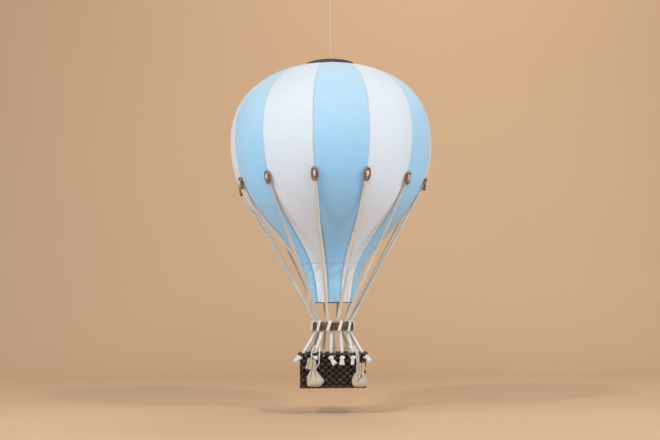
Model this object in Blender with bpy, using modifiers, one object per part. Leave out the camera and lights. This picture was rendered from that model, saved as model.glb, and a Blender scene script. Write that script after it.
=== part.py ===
"""Decorative hanging hot air balloon, about half a metre tall.

An open-mouthed envelope of twelve fabric gores hangs on a thin thread. Twelve cotton ropes run from
buttons on its seams to a load ring and on to a small basket, which carries four sandbags.

Metres, +Z up. The origin is the inner top of the tied loop, where a hook bears. Azimuth 0 is the front,
towards -Y, and azimuth grows towards +X.
"""

import math

import bmesh
import bpy
from mathutils import Matrix, Vector

GAP = 0.0003

# Heights under the hanging loop
CROWN_Z = -0.1317
EQUATOR_Z = -0.2484
NECK_Z = -0.4598
MOUTH_Z = -0.490
RING_Z = -0.5255
RIM_TOP_Z = -0.563
BASKET_BASE_Z = -0.6145

# Envelope
GORES = 12
FIRST_SEAM = math.radians(-9.5)
EQUATOR_RADIUS = 0.1519
CROWN_POWER = 2.3
SHOULDER_REACH = 0.1147
WAIST_REACH = 0.0751
WAIST_SLOPE = 0.258
NECK_RADIUS = 0.0394
MOUTH_RADIUS = 0.0343
APEX_RADIUS = 0.012
FABRIC = 0.0022
PUFF = 0.0012
CROWN_ROWS = 10
BODY_ROWS = 11
GORE_COLUMNS = 4

# Crown cap and thread
CAP_RADIUS = 0.037
CAP_SHOULDER_Z = -0.1292
CAP_DOME = 0.0044
CAP_HOLE = 0.001
CAP_STEPS = 28
THREAD_RADIUS = 0.0006
STOPPER_RADIUS = 0.0022
LOOP_RADIUS = 0.005
LOOP_KNOT_RADIUS = 0.0015

# Buttons, with their lower bar held off the fabric by the rope behind it
BUTTON_Z = -0.3147
BUTTON_BAR = 0.0015
BUTTON_HALF_WIDTH = 0.0036
BUTTON_HALF_HEIGHT = 0.0079
BUTTON_POINT = 0.0005
BUTTON_POWER = 2.6
BUTTON_LIFT = 0.00365
BUTTON_TILT = math.radians(11)
BUTTON_POINTS = 14

# Stays
ROPE_RADIUS = 0.0022
SQUEEZED_RADIUS = 0.0015
WRAP_RADIUS = 0.0019
WRAP_OFFSET = 0.0024
WRAP_CORNER = 0.0014

# Load ring
RING_OUTER = 0.0308
RING_THICK = 0.0038
RING_HEIGHT = 0.0124
RING_EDGE = 0.0013

# Basket
BASKET_WIDTH = 0.0965
BASKET_DEPTH = 0.072
BASKET_WALL = 0.003
BASKET_CORNER = 0.006
RIM_THICK = 0.0034
RIM_OVERHANG = 0.0029
ROPE_HOLE_DROP = 0.0072
KNOT_RADIUS = 0.0038
KNOT_FLATNESS = 0.72

# Sandbags
BAG_FLATNESS = 0.68
RUFFLE_THIN = 0.84
BAG_STEPS = 12
BAG_CORD_RADIUS = 0.0011
HITCH_RISE = 0.0095
HITCH_SIDE = 0.0048
HITCH_SLACK = 0.0011

# Where each rope leaves the basket: the azimuth of its wall or corner, the way along the wall, and how its
# brushed end lies, as sideways lean, outward lean, length and tip radius. The other six follow by half a turn.
HALF_TURN = math.pi
FRONT, BACK = 0.0, math.pi
FRONT_CORNER, BACK_CORNER = math.pi / 4, 3 * math.pi / 4
ANCHORS = [
    (FRONT, -0.0026, 0.62, 0.12, 0.0115, 0.0040),
    (FRONT, 0.0136, -0.05, 0.12, 0.0110, 0.0040),
    (FRONT, 0.0292, -0.10, 0.12, 0.0105, 0.0026),
    (FRONT_CORNER, 0.0, 0.05, 1.50, 0.0100, 0.0034),
    (BACK_CORNER, 0.0, -0.15, 1.30, 0.0100, 0.0034),
    (BACK, -0.0256, 1.35, 0.12, 0.0040, 0.0014),
]
# The rope that would otherwise cross its own wrap on the way to its corner is wound the other way
REVERSED_WRAP = 3

BLUE = (0.40, 0.66, 0.86)
WHITE = (0.80, 0.82, 0.86)
CAP_BROWN = (0.10, 0.05, 0.045)
THREAD_WHITE = (0.85, 0.85, 0.83)
BUTTON_BROWN = (0.30, 0.12, 0.04)
ROPE_WHITE = (0.78, 0.74, 0.66)
RING_BROWN = (0.13, 0.06, 0.025)
WICKER = (0.045, 0.022, 0.014)
SACKING = (0.55, 0.40, 0.24)


def clear_scene():
    for old in list(bpy.data.objects):
        bpy.data.objects.remove(old, do_unlink=True)


def make_collection(name):
    collection = bpy.data.collections.new(name)
    bpy.context.scene.collection.children.link(collection)
    return collection


def make_material(name, colour, roughness):
    material = bpy.data.materials.new(name)
    material.use_nodes = True
    shader = material.node_tree.nodes["Principled BSDF"]
    shader.inputs["Base Color"].default_value = (*colour, 1.0)
    shader.inputs["Roughness"].default_value = roughness
    shader.inputs["Metallic"].default_value = 0.0
    return material


def add_object(name, mesh, collection, material=None):
    piece = bpy.data.objects.new(name, mesh)
    collection.objects.link(piece)
    if material:
        mesh.materials.clear()
        mesh.materials.append(material)
    return piece


def set_smooth(mesh, angle=40.0):
    mesh.shade_smooth()
    mesh.set_sharp_from_angle(angle=math.radians(angle))


def round_point(azimuth, radius, height):
    """The point at an azimuth, a distance from the axis and a height."""
    return Vector((radius * math.sin(azimuth), -radius * math.cos(azimuth), height))


def outward(azimuth):
    return Vector((math.sin(azimuth), -math.cos(azimuth), 0.0))


def along(azimuth):
    return Vector((math.cos(azimuth), math.sin(azimuth), 0.0))


def crown_point(angle):
    """A point of the upper outline, a superellipse, from 0 at the crown to a right angle at the equator."""
    power = 2.0 / CROWN_POWER
    rise = CROWN_Z - EQUATOR_Z
    return EQUATOR_RADIUS * math.sin(angle) ** power, EQUATOR_Z + rise * math.cos(angle) ** power


def body_point(t):
    """A point of the lower outline, one cubic arc from the equator to the neck."""
    arc = [
        (EQUATOR_RADIUS, EQUATOR_Z),
        (EQUATOR_RADIUS, EQUATOR_Z - SHOULDER_REACH),
        (NECK_RADIUS + WAIST_SLOPE * WAIST_REACH, NECK_Z + WAIST_REACH),
        (NECK_RADIUS, NECK_Z),
    ]
    weights = ((1 - t) ** 3, 3 * t * (1 - t) ** 2, 3 * t * t * (1 - t), t ** 3)
    return tuple(sum(w * p[axis] for w, p in zip(weights, arc)) for axis in (0, 1))


def envelope_outline(crown_rows=CROWN_ROWS, body_rows=BODY_ROWS):
    """Radius and height of the fabric's outer side in the middle of a gore, from the mouth to the apex."""
    first = math.asin((APEX_RADIUS / EQUATOR_RADIUS) ** (CROWN_POWER / 2.0))
    rows = [(MOUTH_RADIUS, MOUTH_Z)]
    rows += [body_point(1 - k / body_rows) for k in range(body_rows)]
    for k in range(crown_rows + 1):
        rows.append(crown_point(math.pi / 2 + (first - math.pi / 2) * k / crown_rows))
    return rows


def envelope_radius(height):
    """The outer radius in the middle of a gore at a height below the equator."""
    low, high = 0.0, 1.0
    for _ in range(40):
        middle = (low + high) / 2
        if body_point(middle)[1] > height:
            low = middle
        else:
            high = middle
    return body_point(low)[0]


def crown_height(radius):
    """The height of the fabric's outer side at a distance from the axis, above the equator."""
    rest = 1.0 - (radius / EQUATOR_RADIUS) ** CROWN_POWER
    return EQUATOR_Z + (CROWN_Z - EQUATOR_Z) * rest ** (1.0 / CROWN_POWER)


def seam_depth(radius):
    """How far a seam lies inside the middle of its gores."""
    return PUFF * radius / EQUATOR_RADIUS


def build_gore(index, collection, material, name):
    """One panel from seam to seam, bulging between them, thickened inwards."""
    rows = envelope_outline()
    middle = FIRST_SEAM + (index + 0.5) * 2 * math.pi / GORES
    mesh = bpy.data.meshes.new(name)
    shape = bmesh.new()
    bmesh.ops.create_grid(shape, x_segments=GORE_COLUMNS, y_segments=len(rows) - 1, size=1.0)
    for vertex in shape.verts:
        across, up = vertex.co.x, (vertex.co.y + 1) / 2
        radius, height = rows[round(up * (len(rows) - 1))]
        half_angle = math.pi / GORES - GAP / 2 / (radius - FABRIC)
        dip = seam_depth(radius) * across * across
        vertex.co = round_point(middle + across * half_angle, radius - dip, height)
    shape.to_mesh(mesh)
    shape.free()
    set_smooth(mesh)
    gore = add_object(name, mesh, collection, material)
    wall = gore.modifiers.new("fabric", "SOLIDIFY")
    wall.thickness = FABRIC
    wall.offset = -1.0
    return gore


def build_turned(name, outline, steps, collection, material, closed):
    """A turned solid from a list of radius and height that runs down its outer side."""
    mesh = bpy.data.meshes.new(name)
    shape = bmesh.new()
    points = [shape.verts.new((radius, 0.0, height)) for radius, height in outline]
    pairs = list(zip(points, points[1:]))
    if closed:
        pairs.append((points[-1], points[0]))
    for pair in pairs:
        shape.edges.new(pair)
    shape.to_mesh(mesh)
    shape.free()
    piece = add_object(name, mesh, collection, material)
    screw = piece.modifiers.new("turn", "SCREW")
    screw.angle = 2 * math.pi
    screw.steps = steps
    screw.render_steps = steps
    screw.use_merge_vertices = True
    screw.merge_threshold = 0.00002
    return piece


def bake(piece):
    """Give an object the mesh that its modifiers or its curve make, and return the object."""
    graph = bpy.context.evaluated_depsgraph_get()
    graph.update()
    mesh = bpy.data.meshes.new_from_object(piece.evaluated_get(graph))
    shape = bmesh.new()
    shape.from_mesh(mesh)
    bmesh.ops.remove_doubles(shape, verts=shape.verts, dist=0.00001)
    shape.to_mesh(mesh)
    shape.free()
    collection = piece.users_collection[0]
    name, place = piece.name, piece.matrix_world.copy()
    material = piece.active_material
    bpy.data.objects.remove(piece, do_unlink=True)
    mesh.name = name
    solid = add_object(name, mesh, collection, material)
    solid.matrix_world = place
    return solid


def build_tube(name, route, radii, collection, material, closed=False, sides_step=2):
    """A tube along a route of points, with one radius for each point."""
    curve = bpy.data.curves.new(name, "CURVE")
    curve.dimensions = "3D"
    curve.bevel_depth = 1.0
    curve.bevel_resolution = sides_step
    curve.use_fill_caps = not closed
    spline = curve.splines.new("POLY")
    spline.points.add(len(route) - 1)
    for point, place, radius in zip(spline.points, route, radii):
        point.co = (*place, 1.0)
        point.radius = radius
    spline.use_cyclic_u = closed
    curve.materials.append(material)
    tube = bpy.data.objects.new(name, curve)
    collection.objects.link(tube)
    return bake(tube)


def build_ball(name, place, radius, collection, material, flatness=1.0, segments=10, rings=6):
    mesh = bpy.data.meshes.new(name)
    shape = bmesh.new()
    bmesh.ops.create_uvsphere(shape, u_segments=segments, v_segments=rings, radius=radius)
    bmesh.ops.scale(shape, verts=shape.verts, vec=(1.0, 1.0, flatness))
    bmesh.ops.translate(shape, verts=shape.verts, vec=place)
    shape.to_mesh(mesh)
    shape.free()
    return add_object(name, mesh, collection, material)


def build_cone(name, start, tip, start_radius, tip_radius, collection, material, sides=8):
    """A cone with its small end at the start."""
    mesh = bpy.data.meshes.new(name)
    shape = bmesh.new()
    run = tip - start
    turn = Vector((0, 0, 1)).rotation_difference(run.normalized()).to_matrix().to_4x4()
    place = Matrix.Translation((start + tip) / 2) @ turn
    bmesh.ops.create_cone(
        shape, cap_ends=True, segments=sides, radius1=start_radius, radius2=tip_radius,
        depth=run.length, matrix=place,
    )
    shape.to_mesh(mesh)
    shape.free()
    return add_object(name, mesh, collection, material)


def join_solids(base, *others):
    """Unite solids that overlap into the first of them."""
    for other in others:
        union = base.modifiers.new("join", "BOOLEAN")
        union.operation = "UNION"
        union.solver = "EXACT"
        union.object = other
    solid = bake(base)
    for other in others:
        bpy.data.objects.remove(other, do_unlink=True)
    return solid


def build_envelope(collection, blue, white):
    for index in range(GORES):
        colour, material = ("blue", blue) if index % 2 == 0 else ("white", white)
        build_gore(index, collection, material, f"gore_{colour}_{index // 2 + 1}")


def build_cap(collection, material):
    """A low dome on top of the gores, hollowed to their shape, with a hole for the thread."""
    shares = (0.3, 0.55, 0.75, 0.9, 0.98, 1.0)
    top = [(CAP_HOLE, CAP_SHOULDER_Z + CAP_DOME)]
    for share in shares:
        rise = CAP_DOME * (1 - share ** CROWN_POWER) ** (1 / CROWN_POWER)
        top.append((CAP_RADIUS * share, CAP_SHOULDER_Z + rise))
    stations = [CAP_RADIUS, 0.5 * (APEX_RADIUS + CAP_RADIUS), APEX_RADIUS]
    under = [(radius, crown_height(radius) + GAP) for radius in stations]
    under.append((CAP_HOLE, under[-1][1]))
    cap = bake(build_turned("crown_cap", top + under, CAP_STEPS, collection, material, closed=True))
    set_smooth(cap.data)


def build_thread(collection, material):
    """The thread with its tied loop at the top and the stopper knot that carries the crown cap."""
    loop_centre = Vector((0, 0, THREAD_RADIUS - LOOP_RADIUS))
    loop_points = 20
    ring = [
        loop_centre + LOOP_RADIUS * Vector((math.sin(a), 0, math.cos(a)))
        for a in (2 * math.pi * k / loop_points for k in range(loop_points))
    ]
    loop = build_tube("loop", ring, [THREAD_RADIUS] * loop_points, collection, material, closed=True)
    knot_z = loop_centre.z - LOOP_RADIUS - 1.5 * THREAD_RADIUS
    knot = build_ball("loop_knot", Vector((0, 0, knot_z)), LOOP_KNOT_RADIUS, collection, material)
    stopper_z = crown_height(APEX_RADIUS) - STOPPER_RADIUS
    stopper = build_ball("stopper", Vector((0, 0, stopper_z)), STOPPER_RADIUS, collection, material)
    run = [Vector((0, 0, knot_z)), Vector((0, 0, stopper_z))]
    thread = build_tube("hanging_thread", run, [THREAD_RADIUS] * 2, collection, material)
    thread = join_solids(thread, knot, loop, stopper)
    set_smooth(thread.data, 50)


def button_frame(azimuth):
    """The centre of a button on its seam, its upward direction and its outward direction."""
    radius = envelope_radius(BUTTON_Z)
    radius -= seam_depth(radius)
    up = Vector((0, 0, 1)) * math.cos(BUTTON_TILT) + outward(azimuth) * math.sin(BUTTON_TILT)
    out = outward(azimuth) * math.cos(BUTTON_TILT) - Vector((0, 0, 1)) * math.sin(BUTTON_TILT)
    centre = round_point(azimuth, radius, BUTTON_Z) + out * BUTTON_LIFT
    return centre, up, out


def build_button(index, collection, material):
    """An oval ring of round bar, a little drawn out at the bottom."""
    azimuth = FIRST_SEAM + index * 2 * math.pi / GORES
    centre, up, _ = button_frame(azimuth)
    side = along(azimuth)
    power = 2.0 / BUTTON_POWER
    route = []
    for k in range(BUTTON_POINTS):
        angle = 2 * math.pi * (k + 0.5) / BUTTON_POINTS
        across = math.copysign(abs(math.sin(angle)) ** power, math.sin(angle))
        rise = math.copysign(abs(math.cos(angle)) ** power, math.cos(angle))
        drop = BUTTON_POINT * max(0.0, -math.cos(angle)) ** 6
        route.append(centre + side * BUTTON_HALF_WIDTH * across + up * (BUTTON_HALF_HEIGHT * rise - drop))
    name = f"button_{index + 1}"
    button = build_tube(
        name, route, [BUTTON_BAR] * BUTTON_POINTS, collection, material, closed=True, sides_step=1
    )
    set_smooth(button.data, 60)


def rope_through_button(azimuth):
    """Places and radii of the rope from its end at the fabric, out through the ring and behind its lower bar."""
    centre, up, out = button_frame(azimuth)
    bulge = [
        (0.0050, -0.0012, 0.0010),
        (0.0039, -0.0001, 0.0014),
        (0.0022, 0.0014, 0.0019),
        (0.0, 0.0020, 0.0021),
        (-0.0026, 0.0011, 0.0018),
        (-0.0044, -0.0010, SQUEEZED_RADIUS),
        (-0.0058, -0.0028, SQUEEZED_RADIUS),
        (-BUTTON_HALF_HEIGHT, -0.0036, SQUEEZED_RADIUS),
    ]
    route = [centre + up * rise + out * stand for rise, stand, _ in bulge]
    return route, [radius for _, _, radius in bulge]


def rope_round_ring(index):
    """Places of the rope down the ring's inner side, up its outer side on a slant, and down inside again."""
    azimuth = FIRST_SEAM + index * 2 * math.pi / GORES
    reach = WRAP_RADIUS + GAP
    inner = RING_OUTER - RING_THICK - reach
    outer = RING_OUTER + reach
    high = RING_HEIGHT / 2 + reach
    c = WRAP_CORNER
    w = -WRAP_OFFSET if index % 6 == REVERSED_WRAP else WRAP_OFFSET
    turns = [
        (inner + c, high, -w), (inner, high - c, -w),
        (inner, -high + c, -w), (inner + c, -high, -w),
        (outer - c, -high, -w), (outer, -high + c, -w),
        (outer, high - c, w), (outer - c, high, w),
        (inner + c, high, w), (inner, high - c, w),
        (inner, -high + c, w),
    ]
    side = along(azimuth)
    return [round_point(azimuth, radius, RING_Z + rise) + side * slip for radius, rise, slip in turns]


def anchor_place(index):
    """Where a rope leaves the basket's outer side, with the directions out of and along it."""
    wall, way, *_ = ANCHORS[index % 6]
    azimuth = wall + (HALF_TURN if index >= 6 else 0.0)
    out, side = outward(azimuth), along(azimuth)
    if wall in (FRONT, BACK):
        place = out * BASKET_DEPTH / 2 + side * way
    else:
        corner_x = math.copysign(BASKET_WIDTH / 2 - BASKET_CORNER, out.x)
        corner_y = math.copysign(BASKET_DEPTH / 2 - BASKET_CORNER, out.y)
        place = Vector((corner_x, corner_y, 0)) + out * BASKET_CORNER
    place.z = RIM_TOP_Z - ROPE_HOLE_DROP
    return place, out, side


def stay_foot(index):
    """The middle of the rope where it passes the rim's top, inside the basket."""
    place, out, _ = anchor_place(index)
    place -= out * (BASKET_WALL + ROPE_RADIUS + GAP)
    place.z = RIM_TOP_Z + 0.001
    return place


def build_stay(index, collection, material):
    """One rope with its knot and brushed end."""
    azimuth = FIRST_SEAM + index * 2 * math.pi / GORES
    *_, lean, stand, length, tip_radius = ANCHORS[index % 6]
    route, radii = rope_through_button(azimuth)
    _, up, out = button_frame(azimuth)
    route.append(route[-1] - up * 0.006 - out * 0.0014)
    ring = rope_round_ring(index)
    route.append(ring[0] + (route[-1] - ring[0]).normalized() * 0.008)
    radii += [ROPE_RADIUS] * 2
    route += ring
    radii += [WRAP_RADIUS] * len(ring)
    hole, wall_out, wall_side = anchor_place(index)
    foot = stay_foot(index)
    corner = 0.0016
    knot_place = hole + wall_out * (GAP + KNOT_RADIUS)
    route += [
        ring[-1] + (foot - ring[-1]).normalized() * 0.006,
        foot,
        Vector((foot.x, foot.y, hole.z + corner)),
        Vector((foot.x, foot.y, hole.z)) + wall_out * corner,
        knot_place,
    ]
    radii += [ROPE_RADIUS] * 5
    stay = build_tube(f"stay_{index + 1}", route, radii, collection, material)
    knot = build_ball("knot", knot_place, KNOT_RADIUS, collection, material, KNOT_FLATNESS)
    hang = (Vector((0, 0, -1)) + wall_side * lean + wall_out * stand).normalized()
    end = build_cone("end", knot_place, knot_place + hang * length, 0.0014, tip_radius, collection, material)
    stay = join_solids(stay, knot, end)
    set_smooth(stay.data, 60)


def build_ring(collection, material):
    inner, outer = RING_OUTER - RING_THICK, RING_OUTER
    top, bottom, e = RING_Z + RING_HEIGHT / 2, RING_Z - RING_HEIGHT / 2, RING_EDGE
    section = [
        (inner + e, top), (outer - e, top), (outer, top - e), (outer, bottom + e),
        (outer - e, bottom), (inner + e, bottom), (inner, bottom + e), (inner, top - e),
    ]
    ring = bake(build_turned("load_ring", section, 36, collection, material, closed=True))
    set_smooth(ring.data)


def rounded_box(name, width, depth, low, high, corner, collection, material=None):
    """A box on the axis with rounded upright edges."""
    mesh = bpy.data.meshes.new(name)
    shape = bmesh.new()
    size = Matrix.Diagonal((width, depth, high - low, 1.0))
    bmesh.ops.create_cube(shape, size=1.0, matrix=Matrix.Translation((0, 0, (low + high) / 2)) @ size)
    upright = [e for e in shape.edges if abs(e.verts[0].co.z - e.verts[1].co.z) > 0.5 * (high - low)]
    bmesh.ops.bevel(shape, geom=upright, offset=corner, segments=4, profile=0.5, affect="EDGES")
    shape.to_mesh(mesh)
    shape.free()
    return add_object(name, mesh, collection, material)


def cut(piece, cutter):
    cutter.hide_render = True
    cutter.display_type = "WIRE"
    hole = piece.modifiers.new("cut", "BOOLEAN")
    hole.operation = "DIFFERENCE"
    hole.solver = "EXACT"
    hole.object = cutter


def build_basket(collection, cutters, material):
    """The woven body with its floor, open at the top, with a hole under the rim for each rope."""
    wall_top = RIM_TOP_Z - RIM_THICK - GAP
    body = rounded_box(
        "basket_body", BASKET_WIDTH, BASKET_DEPTH, BASKET_BASE_Z, wall_top, BASKET_CORNER, collection, material
    )
    inner_corner = BASKET_CORNER - BASKET_WALL
    inner_width, inner_depth = BASKET_WIDTH - 2 * BASKET_WALL, BASKET_DEPTH - 2 * BASKET_WALL
    hollow = rounded_box(
        "basket_hollow", inner_width, inner_depth, BASKET_BASE_Z + BASKET_WALL, RIM_TOP_Z + 0.01,
        inner_corner, cutters,
    )
    cut(body, hollow)
    bore = (ROPE_RADIUS + GAP) / math.cos(math.pi / 8)
    for index in range(GORES):
        place, out, _ = anchor_place(index)
        start, end = place - out * 1.5 * BASKET_WALL, place + out * 0.5 * BASKET_WALL
        cut(body, build_cone(f"rope_hole_{index + 1}", start, end, bore, bore, cutters, None))
    rim_width, rim_depth = BASKET_WIDTH + 2 * RIM_OVERHANG, BASKET_DEPTH + 2 * RIM_OVERHANG
    rim = rounded_box(
        "basket_rim", rim_width, rim_depth, RIM_TOP_Z - RIM_THICK, RIM_TOP_Z, BASKET_CORNER + RIM_OVERHANG,
        collection, material,
    )
    opening = rounded_box(
        "rim_opening", inner_width, inner_depth, RIM_TOP_Z - 0.01, RIM_TOP_Z + 0.01, inner_corner, cutters
    )
    cut(rim, opening)


# Each sandbag of the front side: its stay, neck, size, leans and the two places where its cord leaves the rim
BAGS = [
    {"stay": 11, "neck": (-0.0284, -0.5875), "scale": 1.0, "ruffle_lean": -0.25, "body_lean": -0.20,
     "ruffle_scale": 0.86, "legs": ((-0.0306, -0.0312), (-0.0184, -0.0206))},
    {"stay": 2, "neck": (0.0380, -0.5903), "scale": 0.93, "ruffle_lean": 0.14, "body_lean": 0.0,
     "ruffle_scale": 0.98, "legs": ((0.0348, 0.0350), (0.0373, 0.0375))},
]
BAG_OUTLINE = [
    (0.0, 0.0150), (0.0045, 0.0160), (0.0070, 0.0150), (0.0062, 0.0080), (0.0044, 0.0012), (0.0042, -0.0010),
    (0.0075, -0.0055), (0.0110, -0.0125), (0.0122, -0.0175), (0.0112, -0.0222), (0.0070, -0.0240),
    (0.0, -0.0238),
]


def turn_about_axis(half_turns):
    return Matrix.Rotation(HALF_TURN * half_turns, 4, "Z")


def bag_neck(bag):
    """The middle of a front bag's neck, with the bag's back just clear of the wall."""
    belly = max(radius for radius, _ in BAG_OUTLINE) * bag["scale"] * BAG_FLATNESS
    return Vector((bag["neck"][0], -(BASKET_DEPTH / 2 + GAP + belly), bag["neck"][1]))


def build_bag(number, bag, half_turns, collection, material):
    """A gathered bag: ruffle, neck and belly, flattened against the wall."""
    piece = build_turned(f"sandbag_{number}", BAG_OUTLINE, BAG_STEPS, collection, material, closed=False)
    piece = bake(piece)
    neck = bag_neck(bag)
    for vertex in piece.data.vertices:
        x, y, z = vertex.co
        if z > 0:
            swell, thin, lean = bag["ruffle_scale"], RUFFLE_THIN, bag["ruffle_lean"]
        else:
            swell, thin, lean = 1.0, 1.0, bag["body_lean"]
        flat = Vector((x * swell + lean * z, y * thin * BAG_FLATNESS, z))
        vertex.co = turn_about_axis(half_turns) @ (neck + flat * bag["scale"])
    set_smooth(piece.data, 60)


def hitch_place(bag):
    """The middle of the stay at the height where a front bag's cord goes round it."""
    high = rope_round_ring(bag["stay"])[-1]
    foot = stay_foot(bag["stay"])
    share = (RIM_TOP_Z + HITCH_RISE - foot.z) / (high.z - foot.z)
    return foot + (high - foot) * share


def build_bag_cord(number, bag, half_turns, collection, material):
    """One cord: up from the neck, over the rim, round behind the stay, over the rim and down to the neck."""
    stay = hitch_place(bag)
    neck = bag_neck(bag)
    rim_y = -(BASKET_DEPTH / 2 + RIM_OVERHANG + BAG_CORD_RADIUS + GAP)
    behind = ROPE_RADIUS + BAG_CORD_RADIUS + HITCH_SLACK
    neck_back = neck.y + 0.0042 * bag["scale"] * BAG_FLATNESS + BAG_CORD_RADIUS + GAP
    wall_y = -(BASKET_DEPTH / 2 + BAG_CORD_RADIUS + 0.0006)

    def leg(which):
        sign = -1 if which == 0 else 1
        rim_x, low_x = bag["legs"][which]
        return [
            stay + Vector((sign * HITCH_SIDE, 0, 0)),
            Vector((rim_x, rim_y - 0.0002, RIM_TOP_Z + 0.0013)),
            Vector((rim_x, rim_y, RIM_TOP_Z - 0.0006)),
            Vector((0.5 * (rim_x + low_x), rim_y, RIM_TOP_Z - RIM_THICK)),
            Vector((low_x, wall_y - 0.001, neck.z + 0.0085)),
            Vector((neck.x + sign * 0.0014, neck_back, neck.z)),
        ]

    bight = [stay + Vector((x * HITCH_SIDE, y * behind, 0)) for x, y in ((-0.62, 0.72), (0, 1), (0.62, 0.72))]
    route = leg(0)[::-1] + bight + leg(1)
    route = [turn_about_axis(half_turns) @ point for point in route]
    cord = build_tube(
        f"bag_cord_{number}", route, [BAG_CORD_RADIUS] * len(route), collection, material, sides_step=1
    )
    set_smooth(cord.data, 60)


def main():
    clear_scene()
    parts = make_collection("hanging_balloon")
    cutters = make_collection("cutters")
    rope = make_material("cotton_rope", ROPE_WHITE, 0.9)
    build_envelope(parts, make_material("blue_fabric", BLUE, 0.8), make_material("white_fabric", WHITE, 0.8))
    build_cap(parts, make_material("cap_leather", CAP_BROWN, 0.6))
    build_thread(parts, make_material("thread", THREAD_WHITE, 0.5))
    button = make_material("button_wood", BUTTON_BROWN, 0.45)
    for index in range(GORES):
        build_button(index, parts, button)
        build_stay(index, parts, rope)
    build_ring(parts, make_material("ring_wood", RING_BROWN, 0.6))
    build_basket(parts, cutters, make_material("wicker", WICKER, 0.7))
    sacking = make_material("sacking", SACKING, 0.95)
    for half_turns in (0, 1):
        for place, bag in enumerate(BAGS):
            number = 2 * half_turns + place + 1
            build_bag(number, bag, half_turns, parts, sacking)
            build_bag_cord(number, bag, half_turns, parts, rope)


main()
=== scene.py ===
"""Looks of a decorative hanging hot air balloon: cloth gores, ropes, buttons, ring, wickerwork, sandbags.

Metres, +Z up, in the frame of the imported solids: the origin is the inner top of the hanging loop. Azimuth 0
is the front, towards -Y, and azimuth grows towards +X. Each new piece is a surface worked out with numpy,
laid where its solid is, and it rides on that solid's body.
"""

import logging
import math
from dataclasses import dataclass, field
from enum import Enum

import bpy
import numpy as np
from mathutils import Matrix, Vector


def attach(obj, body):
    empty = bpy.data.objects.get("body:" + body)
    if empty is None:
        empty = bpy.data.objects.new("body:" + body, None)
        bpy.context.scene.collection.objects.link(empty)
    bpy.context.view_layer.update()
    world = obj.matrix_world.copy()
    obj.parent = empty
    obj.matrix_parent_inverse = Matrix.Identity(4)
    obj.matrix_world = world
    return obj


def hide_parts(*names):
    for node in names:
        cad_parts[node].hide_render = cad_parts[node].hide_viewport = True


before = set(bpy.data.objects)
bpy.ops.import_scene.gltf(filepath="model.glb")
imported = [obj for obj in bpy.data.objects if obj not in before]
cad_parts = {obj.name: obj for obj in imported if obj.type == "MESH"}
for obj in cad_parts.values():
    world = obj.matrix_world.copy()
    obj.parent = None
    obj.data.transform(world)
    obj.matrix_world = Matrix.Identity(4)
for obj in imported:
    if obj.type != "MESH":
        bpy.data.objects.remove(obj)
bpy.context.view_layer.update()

Array = np.ndarray
Colour = tuple[float, float, float]
Socket = bpy.types.NodeSocket

LOG = logging.getLogger("balloon")
GORES = 12
FIRST_SEAM = math.radians(-9.5)
MILLIMETRE = 0.001
GAP = 0.0003


class Body(Enum):
    """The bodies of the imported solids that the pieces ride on."""

    HANGER = "hanger"
    BALLOON = "balloon"


class Slot(Enum):
    """The record's material slots."""

    BLUE = "blue_fabric"
    WHITE = "white_fabric"
    CAP = "cap_leather"
    THREAD = "thread"
    BUTTON = "button_wood"
    ROPE = "cotton_rope"
    CORD = "cotton_cord"
    RING = "ring_wood"
    WICKER = "wicker"
    SACKING = "sacking"


class Ends(Enum):
    """How a tube's two ends are closed."""

    OPEN = 0
    CLOSED = 1


# Numbers and routes


def unit(vectors: Array) -> Array:
    """Vectors of length one: each divided by its own length."""
    return vectors / np.maximum(np.linalg.norm(vectors, axis=-1, keepdims=True), 1e-12)


def outward(azimuth: Array | float) -> Array:
    """The level direction away from the axis at an azimuth: (sin a, -cos a, 0)."""
    azimuth = np.asarray(azimuth, float)
    return np.stack([np.sin(azimuth), -np.cos(azimuth), np.zeros_like(azimuth)], axis=-1)


def along(azimuth: Array | float) -> Array:
    """The level direction of growing azimuth: (cos a, sin a, 0)."""
    azimuth = np.asarray(azimuth, float)
    return np.stack([np.cos(azimuth), np.sin(azimuth), np.zeros_like(azimuth)], axis=-1)


def polar(azimuth: Array | float, radius: Array | float, height: Array | float) -> Array:
    """Points at azimuth a, distance r from the axis and height h: (r sin a, -r cos a, h)."""
    azimuth, radius, height = np.broadcast_arrays(azimuth, radius, height)
    return np.stack([radius * np.sin(azimuth), -radius * np.cos(azimuth), height], axis=-1)


def seam_azimuth(index: int) -> float:
    """The azimuth of a seam, counted from the front one just left of the middle."""
    return FIRST_SEAM + index * 2 * math.pi / GORES


def arc_length(route: Array) -> Array:
    """The distance along a route of points: the running sum of its steps."""
    steps = np.linalg.norm(np.diff(route[:, :3], axis=0), axis=1)
    return np.concatenate([[0.0], np.cumsum(steps)])


def resample(route: Array, count: int) -> Array:
    """Points evenly spaced along a route, each column read off linearly against the arc length."""
    s = arc_length(route)
    at = np.linspace(0.0, s[-1], count)
    return np.stack([np.interp(at, s, column) for column in route.T], axis=1)


def rounded_route(points: list | Array, step: float, rounding: float) -> Array:
    """A route through corners that it rounds off and straights that it keeps straight.

    The polyline is read off at even steps and each column is averaged under a raised cosine window, so a
    corner becomes an arc about as long as the window.

    Args:
        points: Corners, one row each, with the radius or other values after x, y and z.
        step: Distance between the points that come out.
        rounding: Width of the window.

    Returns:
        The rounded route, one row for each step.
    """
    points = np.asarray(points, float)
    count = max(4, round(arc_length(points)[-1] / step) + 1)
    even = resample(points, count)
    reach = max(1, round(rounding / step / 2))
    window = np.hanning(2 * reach + 3)[1:-1]
    window /= window.sum()
    before = 2 * even[0] - even[reach:0:-1]
    after = 2 * even[-1] - even[-2:-reach - 2:-1]
    padded = np.concatenate([before, even, after])
    return np.stack([np.convolve(column, window, mode="valid") for column in padded.T], axis=1)


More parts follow.
